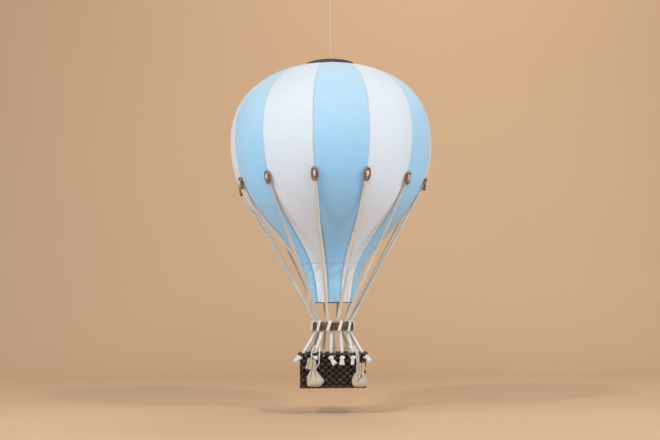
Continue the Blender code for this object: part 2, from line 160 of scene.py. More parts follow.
def smooth_columns(stations: Array, count: int) -> Array:
    """A smooth curve through stations: cubic pieces whose slope at a station is half the step across it."""
    stations = np.asarray(stations, float)
    at = np.linspace(0, len(stations) - 1, count)
    i = np.clip(at.astype(int), 0, len(stations) - 2)
    f = (at - i)[:, None]
    padded = np.concatenate([2 * stations[:1] - stations[1:2], stations, 2 * stations[-1:] - stations[-2:-1]])
    p0, p1, p2, p3 = (padded[i + k] for k in range(4))
    return 0.5 * (
        2 * p1 + (p2 - p0) * f + (2 * p0 - 5 * p1 + 4 * p2 - p3) * f**2 + (3 * p1 - p0 - 3 * p2 + p3) * f**3
    )


def frames(path: Array, side: Array) -> tuple[Array, Array, Array]:
    """Three directions at each point of a path that never runs along the side direction.

    The tangent t is the path's slope, n is the side direction less its share along t, and b is t cross n.

    Args:
        path: Points, the last axis being x, y and z and the one before it the way along.
        side: A direction, the same for the whole path or one for each point.

    Returns:
        The arrays n, b and t.
    """
    tangent = unit(np.gradient(path, axis=-2))
    side = np.broadcast_to(side, path.shape)
    normal = unit(side - np.sum(side * tangent, axis=-1, keepdims=True) * tangent)
    return normal, np.cross(tangent, normal), tangent


def swept(path: Array, radius: Array, turn: Array, side: Array, flatness: float = 1.0) -> Array:
    """A tube's grid of points: path + radius (cos turn n + flatness sin turn b).

    Args:
        path: Points along the tube, shape (..., rows, 3).
        radius: Distance from the path, shape (..., rows, columns) or one that spreads to it.
        turn: Angle about the path, growing from n to b, of the same shape.
        side: Direction that n leans to.
        flatness: The tube's width along b as a share of that along n.

    Returns:
        Points of shape (..., rows, columns, 3).
    """
    normal, binormal, _ = frames(path, side)
    over = (radius * np.cos(turn))[..., None] * normal[..., None, :]
    across = (flatness * radius * np.sin(turn))[..., None] * binormal[..., None, :]
    return path[..., None, :] + over + across


class Shape:
    """A growing mesh: grids of points with their faces, pattern coordinates and point values."""

    def __init__(self) -> None:
        """Start empty."""
        self.points: list[Array] = []
        self.values: list[Array] = []
        self.faces: dict[int, list[Array]] = {4: [], 3: []}
        self.patterns: dict[int, list[Array]] = {4: [], 3: []}
        self.count = 0

    def _add_points(self, points: Array, value: Array | float) -> int:
        """Add points with a value each, and return the first one's number."""
        first = self.count
        self.points.append(points)
        self.values.append(np.broadcast_to(value, points.shape[:1]).astype(float))
        self.count += len(points)
        return first

    def grid(
        self, grid: Array, u: Array, v: Array, around: bool = False, closed: bool = False,
        ends: Ends = Ends.OPEN, value: Array | float = 0.0,
    ) -> None:
        """Add a grid whose faces run (i, j), (i, j+1), (i+1, j+1), (i+1, j), so columns cross rows points out.

        Args:
            grid: Points of shape (rows, columns, 3).
            u: Pattern coordinate of each column, with one more where the columns close.
            v: Pattern coordinate of each row, with one more where the rows close.
            around: Whether the last column joins the first.
            closed: Whether the last row joins the first.
            ends: Whether the first and last rows are closed with a fan about their middle.
            value: A value for each point, or one for all.
        """
        rows, columns = grid.shape[:2]
        value = np.broadcast_to(value, (rows, columns))
        first = self._add_points(grid.reshape(-1, 3), value.ravel())
        i, j = np.meshgrid(
            np.arange(rows if closed else rows - 1), np.arange(columns if around else columns - 1), indexing="ij"
        )
        i2, j2 = (i + 1) % rows, (j + 1) % columns
        corners = [(i, j), (i, j2), (i2, j2), (i2, j)]
        self.faces[4].append(np.stack([first + a * columns + b for a, b in corners], axis=-1).reshape(-1, 4))
        pattern = [(u[j], v[i]), (u[j + 1], v[i]), (u[j + 1], v[i + 1]), (u[j], v[i + 1])]
        pattern = [np.stack(np.broadcast_arrays(a, b), axis=-1) for a, b in pattern]
        self.patterns[4].append(np.stack(pattern, axis=-2).reshape(-1, 4, 2))
        if ends is Ends.CLOSED:
            ring = np.arange(columns)
            following = (ring + 1) % columns
            self._fan(grid[0], value[0], first + following, first + ring, u, v[0])
            last = first + (rows - 1) * columns
            self._fan(grid[-1], value[-1], last + ring, last + following, u, v[rows - 1])

    def _fan(self, rim: Array, value: Array, near: Array, far: Array, u: Array, v: float) -> None:
        """Close a rim with triangles from the mean of its points."""
        centre = self._add_points(rim.mean(axis=0)[None], value.mean())
        self.faces[3].append(np.stack([np.full(len(rim), centre), near, far], axis=-1))
        pattern = np.empty((len(rim), 3, 2))
        pattern[..., 0] = np.asarray(u)[: len(rim), None]
        pattern[..., 1] = v
        self.patterns[3].append(pattern)

    def slab(self, outer: Array, inner: Array, u: Array, v: Array, value: Array) -> None:
        """Add a closed sheet: an outer and an inner grid joined along all four edges.

        Args:
            outer: Points of the outer side, shape (rows, columns, 3).
            inner: Points of the inner side, of the same shape.
            u: Pattern coordinate of each point across, shape (rows, columns).
            v: Pattern coordinate of each row.
            value: A value for each point of the outer side; the inner side takes it below zero.
        """
        rows, columns = outer.shape[:2]
        ring = np.concatenate([outer, inner[:, ::-1]], axis=1)
        ring_u = np.concatenate([u, u[:, ::-1]], axis=1)
        first = self._add_points(ring.reshape(-1, 3), np.concatenate([value, -value[:, ::-1]], axis=1).ravel())
        width = 2 * columns
        i, j = np.meshgrid(np.arange(rows - 1), np.arange(width), indexing="ij")
        j2 = (j + 1) % width
        corners = [(i, j), (i, j2), (i + 1, j2), (i + 1, j)]
        self.faces[4].append(np.stack([first + a * width + b for a, b in corners], axis=-1).reshape(-1, 4))
        pattern = [np.stack([ring_u[a, b], v[a]], axis=-1) for a, b in corners]
        self.patterns[4].append(np.stack(pattern, axis=-2).reshape(-1, 4, 2))
        j = np.arange(columns - 1)
        for row, order in ((0, (3, 2, 1, 0)), (rows - 1, (0, 1, 2, 3))):
            strip = np.stack([j, j + 1, width - 2 - j, width - 1 - j], axis=-1)[:, order]
            self.faces[4].append(first + row * width + strip)
            pattern = np.stack([ring_u[row][strip], np.full(strip.shape, v[row])], axis=-1)
            self.patterns[4].append(pattern)

    def tubes(
        self, paths: Array, radius: Array | float, side: Array, columns: int, shift: float = 0.0, round_u: float = 1.0
    ) -> None:
        """Add many round tubes at once, each closed at both ends.

        Args:
            paths: Their middles, shape (tubes, rows, 3).
            radius: Shape (tubes, rows) or one that spreads to it.
            side: Direction across the tubes, or one for each.
            columns: Sides of each tube.
            shift: How far the pattern moves from one tube to the next.
            round_u: Pattern coordinate once round a tube.
        """
        tubes, rows = paths.shape[:2]
        turn = np.arange(columns) * 2 * math.pi / columns
        radius = np.broadcast_to(radius, (tubes, rows))[..., None]
        grids = swept(paths, radius, turn, side)
        u = np.linspace(0, round_u, columns + 1)
        for number, grid in enumerate(grids):
            v = arc_length(paths[number]) + shift * number
            self.grid(grid, u, v, around=True, ends=Ends.CLOSED)

    def to_object(self, name: str, finish: "Finish", sharp: float = 60.0) -> bpy.types.Object:
        """Make the Blender mesh and its object.

        Args:
            name: The piece's name.
            finish: What it is dressed in.
            sharp: Edges between faces that turn by more degrees than this stay sharp.

        Returns:
            The object, at the origin, with its place in its mesh.
        """
        mesh = bpy.data.meshes.new(name)
        mesh.vertices.add(self.count)
        mesh.vertices.foreach_set("co", np.concatenate(self.points).astype(np.float32).ravel())
        kinds = [(sides, np.concatenate(faces)) for sides, faces in self.faces.items() if faces]
        corners = np.concatenate([faces.ravel() for _, faces in kinds]).astype(np.int32)
        sizes = np.concatenate([np.full(len(faces), sides) for sides, faces in kinds]).astype(np.int32)
        mesh.loops.add(len(corners))
        mesh.loops.foreach_set("vertex_index", corners)
        mesh.polygons.add(len(sizes))
        mesh.polygons.foreach_set("loop_start", np.concatenate([[0], np.cumsum(sizes)[:-1]]).astype(np.int32))
        mesh.update(calc_edges=True)
        pattern = mesh.uv_layers.new(name="UVMap")
        uv = np.concatenate([np.concatenate(self.patterns[sides]).ravel() for sides, _ in kinds])
        pattern.data.foreach_set("uv", uv.astype(np.float32))
        values = mesh.attributes.new("seam", "FLOAT", "POINT")
        values.data.foreach_set("value", np.concatenate(self.values).astype(np.float32))
        mesh.validate()
        mesh.shade_smooth()
        mesh.set_sharp_from_angle(angle=math.radians(sharp))
        mesh.materials.append(finish.material())
        piece = bpy.data.objects.new(name, mesh)
        bpy.context.scene.collection.objects.link(piece)
        LOG.info("%s: %d triangles", name, sum(len(faces) * (sides - 2) for sides, faces in kinds))
        return piece


def settle(piece: bpy.types.Object, body: str, slot: Slot, *nodes: str) -> bpy.types.Object:
    """Let a piece ride on a body and stand for its solids."""
    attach(piece, body)
    if nodes:
        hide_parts(*nodes)
    return piece


# Finishes


class Nodes:
    """Adds the shader nodes of one material and joins them."""

    def __init__(self, name: str) -> None:
        """Start a material with its shader and its pattern coordinates."""
        self.material = bpy.data.materials.new(name)
        self.material.use_nodes = True
        self.tree = self.material.node_tree
        self.shader = self.tree.nodes["Principled BSDF"]
        places = self.add("TexCoord")
        self.uv = places.outputs["UV"]
        self.place = places.outputs["Object"]

    def add(self, kind: str, inputs: dict | None = None, **options: object) -> bpy.types.Node:
        """Add a node, set its options, and give each input a value or join it to a socket."""
        node = self.tree.nodes.new("ShaderNode" + kind)
        for key, value in options.items():
            setattr(node, key, value)
        for key, value in (inputs or {}).items():
            if isinstance(value, Socket):
                self.tree.links.new(value, node.inputs[key])
            else:
                node.inputs[key].default_value = value
        return node

    def split(self, vector: Socket) -> tuple[Socket, Socket, Socket]:
        """The three parts of a vector."""
        parts = self.add("SeparateXYZ", {0: vector}).outputs
        return parts[0], parts[1], parts[2]

    def math(self, operation: str, a: Socket | float, b: Socket | float = 0.0) -> Socket:
        """One sum on numbers."""
        return self.add("Math", {0: a, 1: b}, operation=operation).outputs[0]

    def ripple(self, coordinate: Socket, pitch: float) -> Socket:
        """A wave from 0 to 1 with one crest in each pitch: (1 + sin(2 pi x / pitch)) / 2."""
        sine = self.math("SINE", self.math("MULTIPLY", coordinate, 2 * math.pi / pitch))
        return self.math("ADD", self.math("MULTIPLY", sine, 0.5), 0.5)

    def stretch(self, vector: Socket, scale: tuple[float, float, float]) -> Socket:
        """A vector with each part multiplied by its own scale."""
        return self.add("Mapping", {"Vector": vector, "Scale": scale}).outputs[0]

    def noise(self, vector: Socket, scale: float, detail: float = 2.0, roughness: float = 0.5) -> Socket:
        """Cloudy noise from 0 to 1."""
        inputs = {"Vector": vector, "Scale": scale, "Detail": detail, "Roughness": roughness}
        return self.add("TexNoise", inputs).outputs[0]

    def limits(self, value: Socket, low: float, high: float, to_low: float = 0.0, to_high: float = 1.0) -> Socket:
        """A value spread from one range to another and held at its ends."""
        inputs = {0: value, 1: low, 2: high, 3: to_low, 4: to_high}
        return self.add("MapRange", inputs).outputs[0]

    def blend(self, share: Socket | float, a: Socket | Colour, b: Socket | Colour) -> Socket:
        """A colour between two, by a share from 0 to 1."""
        a, b = (c if isinstance(c, Socket) else (*c, 1.0) for c in (a, b))
        node = self.add("Mix", {0: share, 6: a, 7: b}, data_type="RGBA")
        return node.outputs[2]

    def shade(self, colour: Socket, share: Socket) -> Socket:
        """A colour multiplied by a grey share."""
        grey = self.add("CombineColor", {0: share, 1: share, 2: share}).outputs[0]
        node = self.add("Mix", {0: 1.0, 6: colour, 7: grey}, data_type="RGBA", blend_type="MULTIPLY")
        return node.outputs[2]

    def relief(self, height: Socket, distance: float, under: Socket | None = None, strength: float = 1.0) -> Socket:
        """A bumped normal, on top of another where one is given."""
        inputs = {"Height": height, "Distance": distance, "Strength": strength}
        if under is not None:
            inputs["Normal"] = under
        return self.add("Bump", inputs).outputs[0]

    def dress(self, **sockets: Socket | float | tuple) -> bpy.types.Material:
        """Give the shader's inputs their values or sockets, with underscores for the spaces in their names."""
        for key, value in sockets.items():
            socket = self.shader.inputs[key.replace("_", " ")]
            if isinstance(value, Socket):
                self.tree.links.new(value, socket)
            else:
                socket.default_value = value
        return self.material


@dataclass(frozen=True)
class Finish:
    """A surface's name and main colour, dressed once and shared by the pieces that wear it."""

    name: str
    colour: Colour

    def material(self) -> bpy.types.Material:
        """The material, made at the first call, under a name that no CAD part's own material has."""
        name = f"{self.name}_finish"
        return bpy.data.materials.get(name) or self.make(Nodes(name))

    def make(self, nodes: Nodes) -> bpy.types.Material:
        """A plain finish."""
        return nodes.dress(Base_Color=(*self.colour, 1.0))


SKIRT_SEAM_Z = -0.434


@dataclass(frozen=True)
class WovenCotton(Finish):
    """Plain weave: two crossing sets of threads, thicker and thinner threads, and puckers by the seams."""

    pitch: float = 0.00065
    relief: float = 0.00007
    slubs: float = 0.07
    pucker: float = 0.00022
    # How much the colour darkens where the seam value is low: painted shade in creases.
    fold: float = 0.0
    skirt_tone: float | None = None
    skirt_groove: float = 0.0006
    # Painted shade in the seams' valleys: the tone there high up and low down.
    valley: tuple[float, float] = (0.97, 0.72)
    # Painted light at the crown: the colour that the cloth takes towards the top.
    painted_crown_light: Colour | None = None
    # Painted cool light from below: the colour between the buttons and the skirt.
    deeper: Colour | None = None
    painted_crown_light_span: tuple[float, float] = (-0.280, -0.160)
    painted_cool_light_span: tuple[float, float] = (-0.275, -0.340)
    # Painted shade: a dark band inside the mouth, below this height.
    painted_mouth_shade_above: float = -0.478
    painted_mouth_shade: Colour = (0.030, 0.018, 0.013)

    def make(self, nodes: Nodes) -> bpy.types.Material:
        """Towards the crown the colour shifts as painted light, paler on the blue, and between the buttons and the
        skirt it turns bluer as painted cool light from below; the seams' valleys are darker, more so low down, as
        painted shade. The skirt's seam is sunk in and darkened along its line as painted shade, the skirt's tone below
        it is scaled, and inside the mouth a dark band is painted shade.
        """
        u, v, _ = nodes.split(nodes.uv)
        warp, weft = nodes.ripple(u, self.pitch), nodes.ripple(v, self.pitch)
        half = math.pi / self.pitch
        across = nodes.math("SINE", nodes.math("MULTIPLY", u, half))
        up = nodes.math("SINE", nodes.math("MULTIPLY", v, half))
        over = nodes.math("GREATER_THAN", nodes.math("MULTIPLY", across, up), 0.0)
        under = nodes.math("SUBTRACT", 1.0, over)
        weave = nodes.math(
            "ADD", nodes.math("MULTIPLY", warp, over), nodes.math("MULTIPLY", weft, under)
        )
        long_slubs = nodes.noise(nodes.stretch(nodes.uv, (1500.0, 45.0, 1.0)), 1.0, 3.0)
        cross_slubs = nodes.noise(nodes.stretch(nodes.uv, (45.0, 1500.0, 1.0)), 1.0, 3.0)
        slubs = nodes.math("ADD", long_slubs, cross_slubs)
        clouds = nodes.noise(nodes.place, 14.0, 3.0)
        tone = nodes.math(
            "ADD", nodes.limits(slubs, 0.6, 1.4, 1 - self.slubs, 1 + self.slubs / 2),
            nodes.limits(clouds, 0.3, 0.7, -0.02, 0.02),
        )
        seam = nodes.add("Attribute", attribute_name="seam").outputs["Fac"]
        near = nodes.limits(seam, 0.0, 0.006, 1.0, 0.0)
        wander = nodes.noise(nodes.stretch(nodes.uv, (60.0, 160.0, 1.0)), 1.0, 2.0)
        phase = nodes.math("ADD", nodes.math("MULTIPLY", v, 1250.0), nodes.math("MULTIPLY", wander, 7.0))
        pull = nodes.math("SINE", phase)
        puckers = nodes.math("MULTIPLY", pull, near)
        _, _, height = nodes.split(nodes.place)
        # Painted light: the colour shifts to the crown's painted tint towards the top.
        top = nodes.limits(height, *self.painted_crown_light_span)
        colour = nodes.blend(top, self.colour, self.painted_crown_light or self.colour)
        # Painted shade: darker where the seam value marks a crease.
        if self.fold:
            tone = nodes.math("MULTIPLY", tone, nodes.limits(seam, 0.0, 0.7, 1 - self.fold, 1.0))
        normal = nodes.relief(puckers, self.pucker)
        if self.skirt_tone is not None:
            # Painted shade along the seams' valleys and over the inner side, darker low down.
            upper, lower = self.valley
            painted_valley_shade = nodes.limits(height, -0.310, -0.370, upper, lower)
            past = nodes.limits(seam, 0.0003, 0.0016)
            tone = nodes.math("MULTIPLY", tone, nodes.math("MAXIMUM", painted_valley_shade, past))
            skirt = nodes.limits(height, SKIRT_SEAM_Z - 0.0055, SKIRT_SEAM_Z - 0.0125, 1.0, self.skirt_tone)
            above = nodes.limits(height, SKIRT_SEAM_Z - 0.0125, SKIRT_SEAM_Z - 0.0055)
            # Painted cool light from below: the colour turns bluer between the buttons and the skirt seam.
            painted_cool_light_share = nodes.math("MULTIPLY", nodes.limits(height, *self.painted_cool_light_span), above)
            colour = nodes.blend(painted_cool_light_share, colour, self.deeper or self.colour)
            line = nodes.math("ABSOLUTE", nodes.math("SUBTRACT", height, SKIRT_SEAM_Z))
            groove = nodes.limits(line, 0.0, 0.0010)
            # Painted shade: the colour darkens along the sunk skirt seam.
            tone = nodes.math("MULTIPLY", nodes.math("MULTIPLY", tone, skirt), nodes.limits(line, 0.0, 0.0009, 0.86, 1.0))
            normal = nodes.relief(groove, self.skirt_groove, normal)
            # Painted shade: the inner side below the band's height is dark.
            inside = nodes.math("LESS_THAN", seam, 0.0)
            low = nodes.limits(height, self.painted_mouth_shade_above + 0.0005, self.painted_mouth_shade_above - 0.0005)
            colour = nodes.blend(nodes.math("MULTIPLY", inside, low), colour, self.painted_mouth_shade)
        normal = nodes.relief(weave, self.relief, normal)
        normal = nodes.relief(slubs, self.relief * 1.5, normal)
        return nodes.dress(
            Base_Color=nodes.shade(colour, tone), Roughness=0.6, Normal=normal, Sheen_Weight=0.4,
            Sheen_Roughness=0.5, Specular_IOR_Level=0.5,
        )


@dataclass(frozen=True)
class CottonYarn(Finish):
    """Twisted cotton: fine yarns along each strand, and a faint fuzz of lighter and darker fibres."""

    yarns: float = 30.0
    relief: float = 0.00006
    # Painted shade under the envelope: the yellower, darker colour above a height.
    rope_painted_shade: Colour | None = None
    rope_painted_shade_above: float = -0.500

    def make(self, nodes: Nodes) -> bpy.types.Material:
        """Yarn height is a ripple across the strand that wanders a little along it, with darker yarn valleys as painted
        shade, and high up it is yellower and darker as painted shade under the envelope.
        """
        u, v, _ = nodes.split(nodes.uv)
        wander = nodes.noise(nodes.stretch(nodes.uv, (6.0, 500.0, 1.0)), 1.0, 2.0)
        lean = nodes.math("ADD", u, nodes.math("MULTIPLY", wander, 0.03))
        yarn = nodes.ripple(nodes.math("ADD", lean, nodes.math("MULTIPLY", v, 25.0)), 1.0 / self.yarns)
        fuzz = nodes.noise(nodes.place, 2600.0, 3.0, 0.7)
        dirt = nodes.noise(nodes.place, 90.0, 3.0)
        tone = nodes.math(
            "ADD", nodes.limits(fuzz, 0.3, 0.7, 0.92, 1.04), nodes.limits(dirt, 0.3, 0.7, -0.05, 0.03)
        )
        colour = nodes.blend(0.0, self.colour, self.colour)
        # Painted shade: above the height the colour turns to the rope's painted shade tint.
        if self.rope_painted_shade:
            _, _, height = nodes.split(nodes.place)
            above = nodes.limits(height, self.rope_painted_shade_above - 0.01, self.rope_painted_shade_above + 0.01)
            colour = nodes.blend(above, self.colour, self.rope_painted_shade)
        # Painted shade in the yarn valleys: the colour darkens between yarns.
        tone = nodes.math("MULTIPLY", tone, nodes.limits(yarn, 0.0, 1.0, 0.82, 1.0))
        normal = nodes.relief(yarn, self.relief)
        normal = nodes.relief(fuzz, self.relief, normal)
        return nodes.dress(
            Base_Color=nodes.shade(colour, tone), Roughness=0.92, Normal=normal, Sheen_Weight=0.3,
            Specular_IOR_Level=0.25,
        )


@dataclass(frozen=True)
class GrainedWood(Finish):
    """Stained wood: darker grain along the piece, fine pores and a thin varnish."""

    dark: Colour = (0.05, 0.02, 0.01)
    grain: tuple[float, float, float] = (300.0, 300.0, 60.0)
    gloss: float = 0.35
    coat: float = 0.3
    relief: float = 0.00005
    shine: float = 0.5

    def make(self, nodes: Nodes) -> bpy.types.Material:
        """Grain is noise drawn out along the piece, and pores are finer noise."""
        grain = nodes.noise(nodes.stretch(nodes.place, self.grain), 1.0, 5.0, 0.6)
        pores = nodes.noise(nodes.stretch(nodes.place, tuple(5 * part for part in self.grain)), 1.0, 2.0)
        colour = nodes.blend(nodes.limits(grain, 0.38, 0.62), self.dark, self.colour)
        tone = nodes.limits(pores, 0.3, 0.7, 0.85, 1.08)
        normal = nodes.relief(nodes.math("ADD", grain, pores), self.relief)
        rough = nodes.limits(pores, 0.3, 0.7, self.gloss + 0.1, self.gloss - 0.05)
        return nodes.dress(
            Base_Color=nodes.shade(colour, tone), Roughness=rough, Normal=normal, Coat_Weight=self.coat,
            Coat_Roughness=0.25, Specular_IOR_Level=self.shine,
        )


@dataclass(frozen=True)
class WovenStrip(Finish):
    """Dark willow strip: fine grain along each strip, and each strip of its own tone."""

    light: Colour = (0.10, 0.062, 0.040)
    red: Colour = (0.09, 0.035, 0.022)
    relief: float = 0.00010
    gloss: float = 0.35

    def make(self, nodes: Nodes) -> bpy.types.Material:
        """Tone is slow noise along the strip, grain is noise drawn out a hundred times along it."""
        grain = nodes.noise(nodes.stretch(nodes.uv, (22.0, 90.0, 1.0)), 1.0, 4.0, 0.6)
        slow = nodes.noise(nodes.stretch(nodes.uv, (0.8, 60.0, 1.0)), 1.0, 1.0)
        stain = nodes.noise(nodes.place, 60.0, 2.0)
        colour = nodes.blend(nodes.limits(slow, 0.40, 0.60), self.colour, self.light)
        colour = nodes.blend(nodes.limits(stain, 0.5, 0.75, 0.0, 0.5), colour, self.red)
        tone = nodes.limits(grain, 0.3, 0.7, 0.72, 1.15)
        normal = nodes.relief(grain, self.relief)
        rough = nodes.limits(grain, 0.3, 0.7, 0.75, 0.5)
        return nodes.dress(
            Base_Color=nodes.shade(colour, tone), Roughness=rough, Normal=normal, Specular_IOR_Level=self.gloss
        )


@dataclass(frozen=True)
class Leather(Finish):
    """Brown leather: small pebbled grain, worn paler on its crests."""

    worn: Colour = (0.15, 0.070, 0.060)

    def make(self, nodes: Nodes) -> bpy.types.Material:
        """Pebbles are the distance to scattered cell middles, broken up by noise."""
        inputs = {"Vector": nodes.place, "Scale": 900.0}
        pebbles = nodes.add("TexVoronoi", inputs, feature="F1").outputs["Distance"]
        clouds = nodes.noise(nodes.place, 70.0, 4.0)
        colour = nodes.blend(nodes.limits(clouds, 0.4, 0.68), self.colour, self.worn)
        tone = nodes.limits(pebbles, 0.0, 0.7, 1.1, 0.8)
        normal = nodes.relief(nodes.math("SUBTRACT", 1.0, pebbles), 0.00018)
        normal = nodes.relief(clouds, 0.0008, normal)
        return nodes.dress(Base_Color=nodes.shade(colour, tone), Roughness=0.5, Normal=normal, Specular_IOR_Level=0.25)


@dataclass(frozen=True)
class Nylon(Finish):
    """Clear whitish line with faint cloudiness."""

    def make(self, nodes: Nodes) -> bpy.types.Material:
        """A light gloss over slow noise."""
        clouds = nodes.noise(nodes.place, 400.0, 2.0)
        colour = nodes.shade(nodes.blend(0.0, self.colour, self.colour), nodes.limits(clouds, 0.3, 0.7, 0.92, 1.0))
        return nodes.dress(Base_Color=colour, Roughness=0.35, Transmission_Weight=0.25)


@dataclass(frozen=True)
class Paper(Finish):
    """The studio's seamless paper, with barely seen mottling."""

    def make(self, nodes: Nodes) -> bpy.types.Material:
        """Slow noise within one part in fifty."""
        clouds = nodes.noise(nodes.place, 1.5, 2.0)
        colour = nodes.shade(nodes.blend(0.0, self.colour, self.colour), nodes.limits(clouds, 0.3, 0.7, 0.98, 1.0))
        return nodes.dress(Base_Color=colour, Roughness=0.95, Specular_IOR_Level=0.1)


BLUE_CLOTH = WovenCotton(
    "cloth_blue", (0.320, 0.600, 0.81), skirt_tone=0.98, painted_crown_light=(0.475, 0.625, 0.71), deeper=(0.290, 0.608, 0.92)
)
WHITE_CLOTH = WovenCotton(
    "cloth_white", (0.68, 0.73, 0.78), skirt_tone=1.12, painted_crown_light=(0.68, 0.685, 0.72), deeper=(0.70, 0.785, 0.87)
)
STITCH = CottonYarn("stitch_thread", (0.84, 0.85, 0.86), yarns=3.0, relief=0.00002)
ROPE_COTTON = CottonYarn("rope_cotton", (0.86, 0.80, 0.725), rope_painted_shade=(0.75, 0.67, 0.575))
CORD_COTTON = CottonYarn("cord_cotton", (0.84, 0.80, 0.72), yarns=18.0)
SACK_CLOTH = WovenCotton("sack_cloth", (0.56, 0.44, 0.30), pitch=0.0007, relief=0.0001, slubs=0.14, pucker=0.0, fold=0.8)
CAP_LEATHER = Leather("cap_leather", (0.085, 0.032, 0.028))
BUTTON_WOOD = GrainedWood("button_wood", (0.36, 0.175, 0.072), dark=(0.12, 0.048, 0.020), grain=(350.0, 350.0, 90.0))
RING_WOOD = GrainedWood(
    "ring_wood", (0.25, 0.112, 0.044), dark=(0.050, 0.020, 0.010), grain=(240.0, 240.0, 240.0), gloss=0.6, coat=0.0,
    relief=0.0005, shine=0.25,
)
WICKER = WovenStrip("wicker", (0.030, 0.018, 0.012), light=(0.082, 0.052, 0.034))
# Near black, far darker than the weavers: painted shade in the recesses between the rounds.
PAINTED_SHADE_STAKES = WovenStrip(
    "wicker_stakes_painted_shade", (0.008, 0.005, 0.004), light=(0.016, 0.010, 0.008), red=(0.02, 0.008, 0.006), gloss=0.1
)
BORDER = WovenStrip("wicker_border", (0.060, 0.026, 0.018), light=(0.105, 0.046, 0.030))
NYLON = Nylon("nylon", (0.70, 0.66, 0.60))
PAPER = Paper("studio_paper", (0.71, 0.447, 0.278))


# Sub-assemblies


@dataclass(frozen=True)
class EnvelopeForm:
    """The envelope's outline: a superellipse down to the equator, a cubic arc to the neck, and the mouth."""

    crown_z: float = -0.1317
    equator_z: float = -0.2484
    neck_z: float = -0.4598
    mouth_z: float = -0.490
    equator_radius: float = 0.1519
    crown_power: float = 2.3
    shoulder_reach: float = 0.1147
    waist_reach: float = 0.0751
    waist_slope: float = 0.258
    neck_radius: float = 0.0394
    mouth_radius: float = 0.0343
    apex_radius: float = 0.012
    puff: float = 0.0012

    def crown(self, count: int) -> Array:
        """Radius and height above the equator: R sin^(2/p) a and rise cos^(2/p) a, a from 90 degrees down."""
        power = 2.0 / self.crown_power
        first = math.asin((self.apex_radius / self.equator_radius) ** (1 / power))
        angle = np.linspace(math.pi / 2, first, count)
        radius = self.equator_radius * np.sin(angle) ** power
        return np.stack([radius, self.equator_z + (self.crown_z - self.equator_z) * np.cos(angle) ** power], axis=1)

    def body(self, count: int) -> Array:
        """Radius and height from the neck to the equator along one cubic arc with four corners."""
        arc = np.array([
            (self.neck_radius, self.neck_z),
            (self.neck_radius + self.waist_slope * self.waist_reach, self.neck_z + self.waist_reach),
            (self.equator_radius, self.equator_z - self.shoulder_reach),
            (self.equator_radius, self.equator_z),
        ])
        t = np.linspace(0, 1, count)[:, None]
        weights = ((1 - t) ** 3, 3 * t * (1 - t) ** 2, 3 * t * t * (1 - t), t**3)
        return sum(weight * corner for weight, corner in zip(weights, arc))

    def outline(self, rows: int) -> Array:
        """Radius and height in the middle of a gore from the mouth to the apex, evenly along the cloth."""
        fine = 400
        parts = [[(self.mouth_radius, self.mouth_z)], self.body(fine), self.crown(fine)[1:]]
        return resample(np.concatenate(parts), rows)

    def radius_at(self, height: float) -> float:
        """The radius in the middle of a gore at a height."""
        radius, heights = self.outline(1200).T
        return float(np.interp(height, heights, radius))

    def seam_depth(self, radius: Array | float) -> Array | float:
        """How far a seam lies inside the middle of its gores."""
        return self.puff * radius / self.equator_radius

    def crown_height(self, radius: float) -> float:
        """The height of the cloth at a distance from the axis, above the equator."""
        rest = 1.0 - (radius / self.equator_radius) ** self.crown_power
        return self.equator_z + (self.crown_z - self.equator_z) * rest ** (1.0 / self.crown_power)


FORM = EnvelopeForm()


